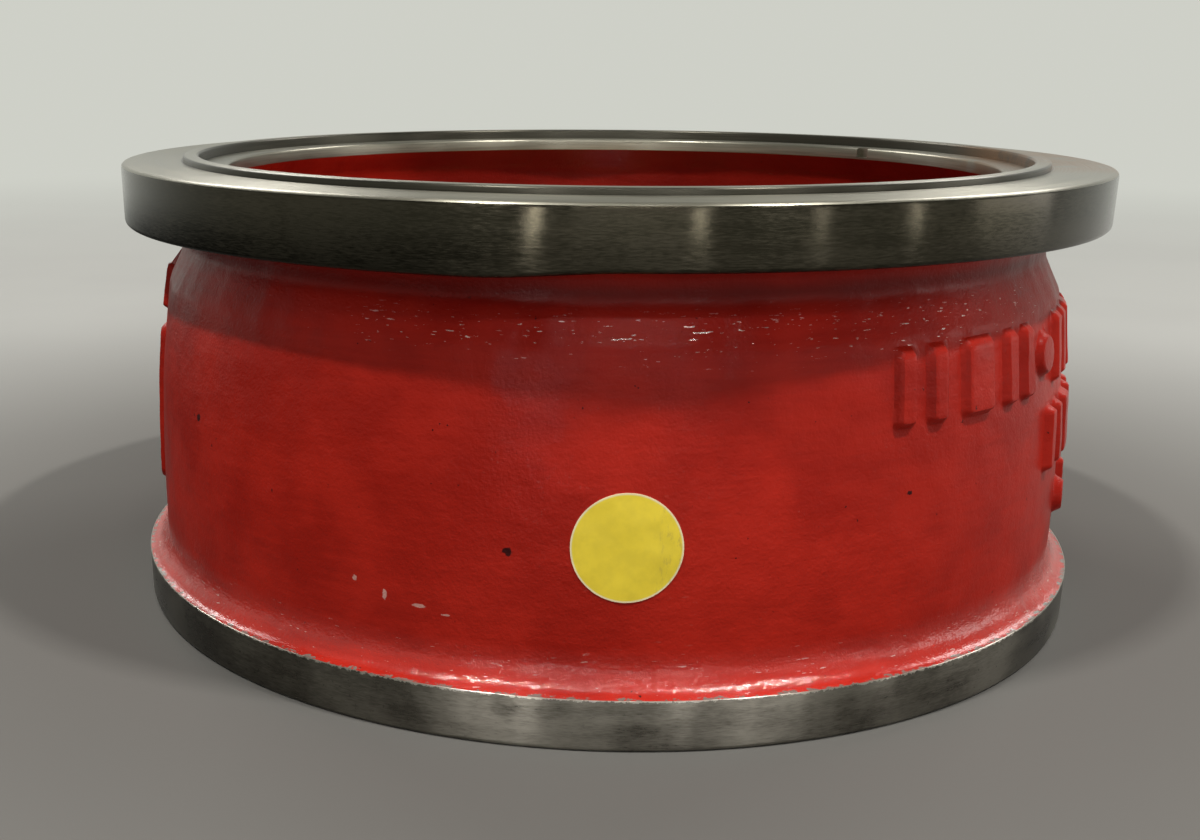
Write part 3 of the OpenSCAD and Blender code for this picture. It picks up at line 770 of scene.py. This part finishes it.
@dataclass
class Piece:
    """Base of the sub-assemblies: the CAD nodes that get each finish, and the making of an object from a bmesh."""

    body: str = "casing"
    sharp: float = 32.0
    dressed: tuple[tuple, ...] = ()

    def add(self, name: str, bm: BMesh, finishes: tuple[Finish, ...], slot: str | None = None,
            replaced: tuple[str, ...] = ()) -> bpy.types.Object:
        """Makes the object of a finished bmesh.

        Args:
            name: Name of the piece.
            bm: Its shape, in metres, which is freed.
            finishes: Its finishes, by slot number.
            slot: Not used.
            replaced: CAD nodes that it stands for.

        Returns:
            The object, riding on its body.
        """
        for face in bm.faces:
            face.smooth = True
        for edge in bm.edges:
            edge.smooth = len(edge.link_faces) == 2 and edge.calc_face_angle(0.0) < math.radians(self.sharp)
        piece = placed_mesh(name, bm)
        mesh = piece.data
        for finish in finishes:
            mesh.materials.append(finish.material)
        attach(piece, self.body)
        if replaced:
            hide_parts(*replaced)
        mesh.calc_loop_triangles()
        LOG.info("%s: %d triangles on %s", name, len(mesh.loop_triangles), self.body)
        return piece

    def build(self) -> None:
        """Gives the sub-assembly's CAD nodes their finishes."""
        for finish, *nodes in self.dressed:
            for name in nodes:
                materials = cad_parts[name].data.materials
                materials.clear()
                materials.append(finish.material)
                LOG.info("%s: dressed in %s", name, finish.material.name)


@dataclass
class Casting(Piece):
    """The iron body: machined rims and outlet face, painted belly, neck and passage, and its raised marks."""

    flange_r: float = 139.7
    body_h: float = 125.0
    rim_t: float = 13.0
    edge_r: float = 1.2
    under_z: float = 109.5
    flat_z: float = 123.4
    ridge_r: float = 123.0
    ridge_w: float = 4.4
    recess_z: float = 122.0
    bore_r: float = 110.4
    land_z: float = 118.4
    neck_r: float = 123.9
    neck_z: float = 100.5
    shoulder_z: float = 91.0
    sag: Pair = (0.5, 1.6)
    sag_rise: float = 4.6
    belly_r: float = 134.1
    belly_z: float = 22.0
    belly_curve_r: float = 450.0
    belly_step: float = 1.5
    inside_step: float = 5.0
    cove_h: float = 7.0
    cove_steps: int = 10
    wall_t: float = 9.0
    ledge_r: float = 93.2
    ledge_z: float = 26.0
    pocket_r: float = 106.2
    pocket_z: float = 10.3
    pad_in_r: float = 96.0
    pad_z: float = 84.0
    pad_w: float = 26.0
    pad_h: float = 34.0
    pad_face_h: float = 16.0
    pad_root: float = 5.0
    pad_edge_r: float = 1.2
    notch_angle: float = 39.0
    notch_w: float = 4.5
    notch_h: float = 3.0
    notch_depth: float = 1.8
    cutter_h: float = 6.0
    sectors: int = 400
    dot_r: float = 12.7
    dot_angle: float = 2.8
    dot_z: float = 47.4
    dot_cells: int = 30
    dot_sunk: float = 0.5
    dot_gap: float = 0.16
    dot_curl: float = 0.25
    marked_z: Pair = (22.0, 95.0)
    mark_edge: Pair = (1.1, -0.8)
    mark_margin: float = 2.4
    mark_reach: float = 8.0
    mark_cuts: int = 3
    marks: tuple[Mark, ...] = (
        *row(80.0, 17.0, 1.9, {31.8: 5.0, 36.2: 5.0, 42.6: 10.5, 48.9: 5.0, 53.0: 5.0, 64.2: 5.0, 68.2: 5.0,
                               74.0: 10.5, 80.0: 5.0}, {58.6: 10.0}),
        *row(57.0, 16.0, 2.2, {61.0: 4.6, 65.0: 4.6, 70.5: 9.5, 76.0: 4.6, 80.0: 4.6}, {}),
        *row(35.5, 15.0, 2.4, {76.4: 4.6, 80.4: 4.6, 84.6: 4.6}, {71.5: 9.0}),
        *row(86.0, 13.0, 2.6, {-98.0: 4.6, -94.0: 4.6, -88.2: 9.5, -82.0: 4.6}, {}),
        Mark(MarkKind.PLATE, -88.0, 51.0, 40.0, 47.0, 2.3),
        Mark(MarkKind.ARROW, 180.0, 56.0, 26.0, 46.0, 2.2))

    def belly(self, z: float) -> float:
        """Radius of the belly at a height, on its long curve."""
        return self.belly_r - self.belly_curve_r + math.sqrt(self.belly_curve_r ** 2 - (z - self.belly_z) ** 2)

    def outline(self) -> list[Pair]:
        """Cross-section of the casting, up its outside and down its passage.

        Returns:
            Points of radius and height.
        """
        foot = self.belly(self.rim_t + self.cove_h)
        cove_w = self.flange_r - 0.2 - foot
        turns = [math.radians(270 - 90 * i / self.cove_steps) for i in range(self.cove_steps + 1)]
        cove = [(foot + cove_w * (1 + math.cos(t)), self.rim_t + self.cove_h * (1 + math.sin(t))) for t in turns]
        curve = [(self.belly(z), z) for z in self.steps(self.belly_z + 1, self.shoulder_z - 6, self.belly_step)]
        inside = [(self.belly(z) - self.wall_t, z)
                  for z in self.steps(self.shoulder_z - 4, self.ledge_z + 24, self.inside_step)]
        ridge_in = self.ridge_r - self.ridge_w
        neck_in = self.neck_r - self.wall_t
        return rounded([
            (self.pocket_r, 0, 0.5), (self.flange_r, 0, self.edge_r), (self.flange_r, self.rim_t, 0.35), *cove, *curve,
            (self.belly(self.shoulder_z), self.shoulder_z, 9), (self.neck_r, self.neck_z, 5),
            (self.neck_r, self.under_z, 4.5), (self.flange_r - 3, self.under_z),
            (self.flange_r, self.under_z, self.edge_r), (self.flange_r, self.flat_z, self.edge_r),
            (self.ridge_r, self.flat_z), (self.ridge_r, self.body_h, 0.6), (ridge_in, self.body_h, 0.6),
            (ridge_in, self.recess_z), (self.bore_r, self.recess_z, 0.7), (self.bore_r, self.land_z, 0.4),
            (neck_in, self.land_z - 7, 8), (neck_in, self.neck_z - 2, 10), *inside,
            (self.belly_r - self.wall_t - 1, self.ledge_z + 3, 16), (self.ledge_r + 4, self.ledge_z),
            (self.ledge_r, self.ledge_z - 2), (self.ledge_r, self.pocket_z), (self.pocket_r, self.pocket_z)])

    @staticmethod
    def steps(start: float, end: float, size: float) -> list[float]:
        """Even steps from one number to another, both included."""
        count = max(1, round(abs(end - start) / size))
        return [start + (end - start) * i / count for i in range(count + 1)]

    def skin_at(self, r: float, z: float) -> Skin:
        """Which finish the casting has at a radius and height.

        Args:
            r: The radius.
            z: The height.

        Returns:
            The finish.
        """
        if r > self.flange_r - 1.15 and (z < self.rim_t or self.under_z + 0.02 < z < self.flat_z - 0.7):
            return Skin.RIM if z > self.under_z else Skin.FOOT
        if z > self.recess_z - 0.1 or (r < self.bore_r + 0.4 and z > self.land_z - 0.05) or z < 0.9:
            return Skin.FACE
        if r < self.pocket_r + 0.1 and z < self.ledge_z - 1:
            return Skin.FACE
        return Skin.ENAMEL

    def unevenness(self, point: Vector) -> float:
        """How far the mould left the painted surface from its plain shape.

        Args:
            point: Where.

        Returns:
            Height along the surface's normal.
        """
        r, z = radius_of(point), point.z
        if r > self.neck_r - 4:
            calm = smooth_step(self.rim_t, self.rim_t + 2.5, z)
            if z > self.under_z - 5:
                calm *= smooth_step(self.flange_r - 1, self.flange_r - 4, r)
        else:
            calm = smooth_step(self.land_z, self.land_z - 4, z) * smooth_step(self.ledge_z, self.ledge_z + 4, z)
        rough = 1 + 1.6 * smooth_step(84, 90, z) * smooth_step(104, 98, z) + 0.7 * smooth_step(22, 18, z)
        broad = noise.noise(point / 26.0) * 0.42
        small = noise.noise(point / 7.0) * 0.16 * rough
        fine = noise.noise(point / 2.6) * 0.06 * rough
        return calm * (broad + small + fine)

    def sag_at(self, angle: float) -> float:
        """How much lower the outlet flange's underside lies than it was drawn, most on the left of the front."""
        return self.sag[0] + self.sag[1] * smooth_step(2, -12, angle) * smooth_step(-160, -90, angle)

    def off_mark(self, mark: Mark, angle: float, z: float) -> float:
        """Distance of a place on the belly from a mark's outline.

        Args:
            mark: The mark.
            angle: Angle of the place.
            z: Height of the place.

        Returns:
            The distance, negative inside the outline and endless far above or below it.
        """
        if abs(z - mark.z) > mark.height / 2 + self.mark_reach:
            return math.inf
        across = math.radians((angle - mark.angle + 540) % 360 - 180) * self.belly(mark.z)
        return mark.outside(across, z - mark.z)

    def relief(self, angle: float, z: float) -> float:
        """Height of the raised marks at a place on the belly."""
        return max(mark.rise * smooth_step(*self.mark_edge, self.off_mark(mark, angle, z)) for mark in self.marks)

    def may_be_marked(self, point: Vector) -> bool:
        """Whether a point is on the band that the raised marks stand on."""
        return radius_of(point) > self.neck_r + 2 and self.marked_z[0] < point.z < self.marked_z[1]

    def shell(self) -> BMesh:
        """Spins the cross-section, refines it at the marks and lets the mould's unevenness in.

        Returns:
            The casting's shell in metres.
        """
        bm = bmesh.new()
        ring = [bm.verts.new((r * MM, 0, z * MM)) for r, z in self.outline()]
        edges = [bm.edges.new(pair) for pair in zip(ring, ring[1:] + ring[:1])]
        bmesh.ops.spin(bm, geom=ring + edges, cent=(0, 0, 0), axis=(0, 0, 1), dvec=(0, 0, 0), angle=TURN,
                       steps=self.sectors, use_merge=True)
        bmesh.ops.remove_doubles(bm, verts=bm.verts[:], dist=MERGE)
        bmesh.ops.recalc_face_normals(bm, faces=bm.faces[:])
        chosen = set()
        for face in bm.faces:
            middle = face.calc_center_median() / MM
            face.material_index = self.skin_at(radius_of(middle), middle.z)
            place = angle_of(middle), middle.z
            if self.may_be_marked(middle) and min(self.off_mark(m, *place) for m in self.marks) < self.mark_margin:
                chosen.update(face.edges)
        bmesh.ops.subdivide_edges(bm, edges=list(chosen), cuts=self.mark_cuts, use_grid_fill=True)
        for vert in bm.verts:
            point = vert.co / MM
            low = smooth_step(self.under_z - self.sag_rise, self.under_z, point.z) * (point.z < self.under_z + 2)
            if low > 0 and radius_of(point) > self.neck_r - 1:
                vert.co.z -= low * self.sag_at(angle_of(point)) * MM
        bm.normal_update()
        for vert in bm.verts:
            if all(face.material_index == Skin.ENAMEL for face in vert.link_faces):
                point = vert.co / MM
                lift = self.unevenness(point)
                if self.may_be_marked(point):
                    lift += self.relief(angle_of(point), point.z)
                vert.co += vert.normal * lift * MM
        return bm

    def notch(self, bm: BMesh) -> BMesh:
        """Cuts the fitting notch into the land of the outlet bore.

        Args:
            bm: The casting's shell, which is freed.

        Returns:
            The shell with its notch.
        """
        tool = bmesh.new()
        bmesh.ops.create_cube(tool, size=1.0)
        size = (2 * self.notch_depth * MM, self.notch_w * MM, self.cutter_h * MM)
        middle = (self.bore_r * MM, 0, (self.recess_z - self.notch_h + self.cutter_h / 2) * MM)
        turn = Matrix.Rotation(math.radians(self.notch_angle), 3, "Z")
        bmesh.ops.scale(tool, verts=tool.verts[:], vec=size)
        bmesh.ops.translate(tool, verts=tool.verts[:], vec=middle)
        bmesh.ops.rotate(tool, verts=tool.verts[:], cent=(0, 0, 0), matrix=turn)
        for face in tool.faces:
            face.material_index = Skin.FACE
        pair = [placed_mesh("shell", bm), placed_mesh("notch_tool", tool)]
        cut = pair[0].modifiers.new("notch", "BOOLEAN")
        cut.operation, cut.object, cut.solver = "DIFFERENCE", pair[1], "EXACT"
        made = bmesh.new()
        made.from_object(pair[0], bpy.context.evaluated_depsgraph_get())
        for item in pair:
            mesh = item.data
            bpy.data.objects.remove(item)
            bpy.data.meshes.remove(mesh)
        return made

    def pads(self, bm: BMesh) -> None:
        """Adds the four pads that carry the outlet guide, each sunk in the wall.

        Args:
            bm: The casting.
        """
        root = self.belly(self.pad_z) - self.wall_t / 2
        low = self.pad_z - self.pad_h
        corners = rounded([(self.pad_in_r, self.pad_z, 0.8), (root, self.pad_z), (root, low),
                           (root - self.pad_root, low), (self.pad_in_r, self.pad_z - self.pad_face_h, 6)])
        for k in range(4):
            outline = [bm.verts.new((r * MM, -self.pad_w / 2 * MM, z * MM)) for r, z in corners]
            made = bmesh.ops.extrude_face_region(bm, geom=[bm.faces.new(outline)])["geom"]
            far = [v for v in made if isinstance(v, bmesh.types.BMVert)]
            bmesh.ops.translate(bm, verts=far, vec=(0, self.pad_w * MM, 0))
            whole = outline + far
            faces = list({f for v in whole for f in v.link_faces})
            bmesh.ops.recalc_face_normals(bm, faces=faces)
            for f in faces:
                top = f.calc_center_median().z > (self.pad_z - 0.3) * MM
                f.material_index = Skin.FACE if top else Skin.ENAMEL
            side = [e for f in faces for e in f.edges if abs(e.verts[0].co.y - e.verts[1].co.y) < 1e-6]
            bmesh.ops.rotate(bm, verts=whole, cent=(0, 0, 0), matrix=Matrix.Rotation(k * TURN / 4, 3, "Z"))
            bmesh.ops.bevel(bm, geom=list(set(side)), offset=self.pad_edge_r * MM, offset_type="OFFSET", segments=3,
                            profile=0.5, affect="EDGES", material=-1, clamp_overlap=True)

    def sticker(self) -> None:
        """Makes the round sticker, bent to the belly."""
        bm = bmesh.new()
        bmesh.ops.create_grid(bm, x_segments=self.dot_cells, y_segments=self.dot_cells, size=1.0)
        for vert in bm.verts:
            x, y, _ = vert.co
            vert.co = Vector((x * math.sqrt(1 - y * y / 2), y * math.sqrt(1 - x * x / 2), 0)) * self.dot_r
        rim = [e for e in bm.edges if e.is_boundary]
        flat = bm.loops.layers.uv.new("flat")
        for f in bm.faces:
            for loop in f.loops:
                loop[flat].uv = (loop.vert.co.x / self.dot_r, loop.vert.co.y / self.dot_r)
        edge = bmesh.ops.extrude_edge_only(bm, edges=rim)["geom"]
        sunk = [v for v in edge if isinstance(v, bmesh.types.BMVert)]
        bmesh.ops.translate(bm, verts=sunk, vec=(0, 0, -self.dot_sunk))
        for vert in bm.verts:
            x, y, drop = vert.co
            z = self.dot_z + y
            r = self.belly(z)
            angle = math.radians(self.dot_angle) + x / r
            r += self.unevenness(point_at(r, angle, z)) + self.dot_gap + drop
            r += self.dot_curl * smooth_step(0.90, 1.0, x / self.dot_r) * smooth_step(0.5, 0.0, abs(y) / self.dot_r)
            vert.co = point_at(r, angle, z) * MM
        bmesh.ops.recalc_face_normals(bm, faces=bm.faces[:])
        if max(bm.faces, key=lambda f: f.calc_area()).normal.y > 0:
            bmesh.ops.reverse_faces(bm, faces=bm.faces[:])
        self.add("blank_dot", bm, (Finish.PAPER,))

    def build(self) -> None:
        """Builds the casting and its sticker."""
        bm = self.notch(self.shell())
        self.pads(bm)
        finishes = tuple(Finish[skin.name] for skin in Skin)
        self.add("casting", bm, finishes, "body", ("body_casting",))
        self.sticker()


def rounded(corners: list[tuple]) -> list[Pair]:
    """Rounds the corners of an outline.

    Args:
        corners: Points (x, y) that stay sharp, or (x, y, radius) that are rounded.

    Returns:
        Points of the rounded outline.
    """
    points = [Vector(c[:2]) for c in corners]
    made = []
    for i, corner in enumerate(corners):
        if len(corner) < 3:
            made.append(corner)
            continue
        here, before, after = points[i], points[i - 1], points[(i + 1) % len(points)]
        u, v = (before - here).normalized(), (after - here).normalized()
        half = math.acos(max(-1.0, min(1.0, u.dot(v)))) / 2
        reach = min(corner[2] / math.tan(half), 0.48 * (before - here).length, 0.48 * (after - here).length)
        radius = reach * math.tan(half)
        centre = here + (u + v).normalized() * radius / math.sin(half)
        start = math.atan2(*reversed(here + u * reach - centre))
        end = math.atan2(*reversed(here + v * reach - centre))
        swing = (end - start + 3 * math.pi) % TURN - math.pi
        count = max(3, min(10, round(abs(swing) * radius)))
        made += [tuple(centre + radius * Vector((math.cos(t), math.sin(t))))
                 for t in (start + swing * k / count for k in range(count + 1))]
    return made


@dataclass
class SeatSet(Piece):
    """The seat ring with its seal and screws, and the inlet guide with its bushing."""

    dressed: tuple[tuple, ...] = (
        (Finish.STEEL, "seat_ring"), (Finish.BRONZE, "inlet_guide"), (Finish.BEARING, "lower_bushing"),
        (Finish.RUBBER, "seat_o_ring"), (Finish.SCREWS, "seat_screws", "inlet_guide_screws"))


@dataclass
class DiscSet(Piece):
    """The disc with its seal and retainer, on the stem with its nut."""

    dressed: tuple[tuple, ...] = (
        (Finish.BRONZE, "disc"), (Finish.STEEL, "stem", "seal_retainer"),
        (Finish.RUBBER, "disc_seal", "stem_o_ring"),
        (Finish.SCREWS, "stem_nut", "tab_washer", "retainer_screws"))


@dataclass
class SpringSet(Piece):
    """The spring, wound from round wire with closed and ground ends, and the washer under it."""

    low: float = 47.15
    high: float = 98.2
    coil_r: float = 34.0
    wire_r: float = 2.0
    turns: float = 4.5
    closed_turns: float = 1.0
    closed_pitch: float = 2.16
    ground: float = 0.6
    per_turn: int = 60
    sides: int = 16
    pressed: float = 0.412
    dressed: tuple[tuple, ...] = ((Finish.STEEL, "thrust_washer"),)

    def wind(self, bm: BMesh, end: list, turns: float, pitch: float) -> list:
        """Winds the wire on by some turns.

        Args:
            bm: The spring.
            end: Vertices and edges of the wire's open end.
            turns: How many turns.
            pitch: Rise of a turn.

        Returns:
            The new open end.
        """
        steps = round(turns * self.per_turn)
        return bmesh.ops.spin(bm, geom=end, cent=(0, 0, 0), axis=(0, 0, 1), dvec=(0, 0, pitch * turns / steps * MM),
                              angle=TURN * turns, steps=steps, use_merge=False)["geom_last"]

    def build(self) -> None:
        """Builds the spring and dresses the washer."""
        bm = bmesh.new()
        first_z = self.wire_r * self.ground
        start = Matrix.Translation((self.coil_r * MM, 0, (self.low + first_z) * MM))
        made = bmesh.ops.create_circle(bm, cap_ends=False, radius=self.wire_r * MM, segments=self.sides,
                                       matrix=start @ Matrix.Rotation(TURN / 4, 4, "X"))
        closed = self.wire_r * self.closed_pitch
        open_turns = self.turns - 2 * self.closed_turns
        open_pitch = (self.high - self.low - 2 * first_z - 2 * closed) / open_turns
        end = made["verts"] + bm.edges[:]
        for turns, pitch in ((self.closed_turns, closed), (open_turns, open_pitch), (self.closed_turns, closed)):
            end = self.wind(bm, end, turns, pitch)
        bmesh.ops.holes_fill(bm, edges=[e for e in bm.edges if e.is_boundary], sides=0)
        bmesh.ops.remove_doubles(bm, verts=bm.verts[:], dist=MERGE)
        for z, way in ((self.low, -1), (self.high, 1)):
            cut = bmesh.ops.bisect_plane(bm, geom=bm.verts[:] + bm.edges[:] + bm.faces[:], dist=MERGE,
                                         plane_co=(0, 0, z * MM), plane_no=(0, 0, way), clear_outer=True)
            rim = [g for g in cut["geom_cut"] if isinstance(g, bmesh.types.BMEdge)]
            bmesh.ops.holes_fill(bm, edges=rim, sides=0)
        bmesh.ops.recalc_face_normals(bm, faces=bm.faces[:])
        spring = self.add("wound_spring", bm, (Finish.WIRE,), "spring_wire", ("spring",))
        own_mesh(spring)
        super().build()


@dataclass
class OutletGuide(Piece):
    """The outlet guide on its pads, with its bushing, screws and washers."""

    dressed: tuple[tuple, ...] = (
        (Finish.BRONZE, "outlet_guide"), (Finish.BEARING, "upper_bushing"),
        (Finish.SCREWS, "guide_screws", "guide_washers"))


@dataclass
class Studio:
    """Floor, backdrop, lamps and camera, in metres, with the camera's turns in radians.

    A lamp is a name, the angle of the place on the upper rim that it points at, the angle and the rise of the way from
    there to it, its width and height, and its power in watts.
    """

    eye: Place = (0.0, -0.42868, 0.15156)
    yaw: float = -0.0738
    pitch: float = 0.3198
    roll: float = 0.0037
    focal: float = 1401.8
    centre: Pair = (500.0, 519.48)
    sensor: float = 36.0
    clip: Pair = (0.01, 50.0)
    floor_size: float = 6.0
    floor_colour: Colour = (0.34, 0.34, 0.322)
    floor_shade_colour: Colour = (0.125, 0.121, 0.112)
    near: Pair = (0.15, 0.55)
    cloud_colour: Colour = (0.1, 0.1, 0.1)
    dark_reflection_colour: Colour = (0.02, 0.02, 0.019)
    left: Pair = (-0.30, -0.05)
    bounce_colour: Colour = (0.11, 0.11, 0.107)
    wall_colour: Colour = (0.62, 0.63, 0.575)
    fade: Pair = (0.5, 1.6)
    ambient_colour: Colour = (0.80, 0.82, 0.80)
    ambient: float = 0.11
    overhead: float = 0.52
    overhead_rise: Pair = (0.12, 0.6)
    rim_r: float = 0.14
    rim_z: float = 0.1
    far: float = 1.6
    lamp_colour: Colour = (1.0, 0.98, 0.95)
    lamps: tuple = (
        ("left", -20.0, -47.7, 66.7, (0.14, 0.06), 17.0), ("right", 22.0, 65.4, 63.5, (0.14, 0.06), 18.0),
        ("front_left", -6.0, -14.9, 72.5, (0.11, 0.05), 1.2), ("front_right", 7.8, 19.3, 74.0, (0.11, 0.05), 1.2),
        ("tube", 4.0, 9.0, 40.5, (0.8, 0.03), 3.2),
        ("streak_a", -6.0, -14.9, 6.5, (0.025, 0.5), 1.7), ("streak_b", 7.8, 19.3, 6.5, (0.02, 0.5), 1.1),
        ("streak_c", 18.4, 45.3, 6.5, (0.02, 0.5), 0.5), ("streak_d", 27.7, 67.4, 6.5, (0.02, 0.5), 0.7),
        ("front", 2.0, 5.0, 12.0, (0.7, 0.3), 0.8), ("side", 40.0, 96.0, 8.0, (0.7, 0.4), 2.3),
        ("back_left", 180.0, -138.0, 40.0, (0.6, 0.5), 12.0), ("back_right", 180.0, 134.0, 40.0, (0.6, 0.5), 11.0))

    def floor_finish(self) -> Material:
        """Makes the floor's finish.

        Returns:
            A matt pale floor that fades into the backdrop far out and throws less light back at the object, with
            painted shade near the valve and a painted dark reflection on the left.
        """
        graph = Graph("pale_floor")
        seen = graph.ray(*SEEN)
        # Painted shade: the floor is darker near the valve, as seen by the camera and in reflections.
        pale = graph.blend(graph.span(graph.radius, *self.near), self.floor_shade_colour, self.floor_colour)
        pale = graph.blend(graph.span(graph.noise(6.0), 0.3, 0.7, 0.0, 0.06), pale, self.cloud_colour)
        colour = graph.blend(seen, self.bounce_colour, pale)
        # Painted reflection: glossy rays see the floor's left part nearly black, so the valve's metal reflects dark on
        # the left.
        left = graph.span(graph.parts[0], *self.left, 1.0, 0.0)
        colour = graph.blend(graph.times(left, graph.ray("Glossy")), colour, self.dark_reflection_colour)
        inputs = {"Base Color": colour, "Roughness": 0.6, "Specular IOR Level": 0.0}
        near = graph.node("ShaderNodeBsdfPrincipled", inputs)
        far = graph.node("ShaderNodeEmission", {"Color": self.wall_colour, "Strength": 1.0})
        share = graph.times(graph.span(graph.radius, *self.fade), seen)
        both = graph.node("ShaderNodeMixShader", {0: share, 1: near.outputs[0], 2: far.outputs[0]})
        graph.node("ShaderNodeOutputMaterial", {"Surface": both.outputs[0]})
        return graph.owner

    def floor(self) -> None:
        """Lays the floor."""
        bm = bmesh.new()
        bmesh.ops.create_grid(bm, x_segments=1, y_segments=1, size=self.floor_size)
        made = placed_mesh("floor", bm)
        made.data.materials.append(self.floor_finish())

    def lamp(self, name: str, foot: float, angle: float, rise: float, size: Pair, power: float) -> None:
        """Hangs an area lamp that points at a place on the upper rim.

        Args:
            name: Its name.
            foot: Angle of that place.
            angle: Angle of the way from there to the lamp.
            rise: How steeply that way rises.
            size: Its width and height.
            power: Its power in watts.
        """
        data = bpy.data.lights.new(name, "AREA")
        data.shape = "RECTANGLE"
        data.size, data.size_y = size
        data.energy = power
        data.color = self.lamp_colour
        at, way, up = (math.radians(v) for v in (foot, angle, rise))
        rim = point_at(self.rim_r, at, self.rim_z)
        made = placed(name, data)
        made.location = rim + self.far * point_at(math.cos(up), way, math.sin(up))
        made.rotation_euler = (rim - made.location).to_track_quat("-Z", "Y").to_euler()
        made.visible_camera = False

    def world(self) -> None:
        """Sets the world: dim light on the object, and a pale backdrop that darkens overhead for what sees it."""
        graph = Graph("studio", world=True)
        rise = graph.split(graph.node("ShaderNodeTexCoord").outputs["Generated"])[2]
        strength = graph.span(rise, *self.overhead_rise, 1.0, self.overhead, smooth=False)
        ambient = graph.node("ShaderNodeBackground", {0: self.ambient_colour, 1: self.ambient})
        backdrop = graph.node("ShaderNodeBackground", {0: self.wall_colour, 1: strength})
        inputs = {0: graph.ray(*SEEN), 1: ambient.outputs[0], 2: backdrop.outputs[0]}
        graph.node("ShaderNodeOutputWorld", {0: graph.node("ShaderNodeMixShader", inputs).outputs[0]})
        bpy.context.scene.world = graph.owner

    def camera(self) -> None:
        """Sets the camera at the photograph's place."""
        data = bpy.data.cameras.new("photo_view")
        data.sensor_fit = "HORIZONTAL"
        data.sensor_width = self.sensor
        data.lens = self.sensor * self.focal / PHOTO_W
        data.shift_x = (PHOTO_W / 2 - self.centre[0]) / PHOTO_W
        data.shift_y = (self.centre[1] - PHOTO_H / 2) / PHOTO_W
        data.clip_start, data.clip_end = self.clip
        ahead = Vector((math.sin(self.yaw) * math.cos(self.pitch), math.cos(self.yaw) * math.cos(self.pitch),
                        -math.sin(self.pitch)))
        level = Vector((math.cos(self.yaw), -math.sin(self.yaw), 0))
        upward = level.cross(ahead)
        right = level * math.cos(self.roll) + upward * math.sin(self.roll)
        turn = Matrix((right, upward * math.cos(self.roll) - level * math.sin(self.roll), -ahead)).transposed()
        made = placed("photo_view", data)
        made.matrix_world = Matrix.Translation(self.eye) @ turn.to_4x4()
        bpy.context.scene.camera = made

    def build(self) -> None:
        """Builds the studio."""
        self.floor()
        for lamp in self.lamps:
            self.lamp(*lamp)
        self.world()
        self.camera()
        bpy.context.scene.view_settings.view_transform = "Standard"


def main() -> None:
    """Builds every finish and sub-assembly in order."""
    logging.basicConfig(level=logging.INFO, format="%(name)s: %(message)s")
    for finish in Finish:
        finish.value.make()
    for part in (Casting(), SeatSet(), DiscSet(), SpringSet(), OutletGuide(), Studio()):
        part.build()


if __name__ == "__main__":
    main()
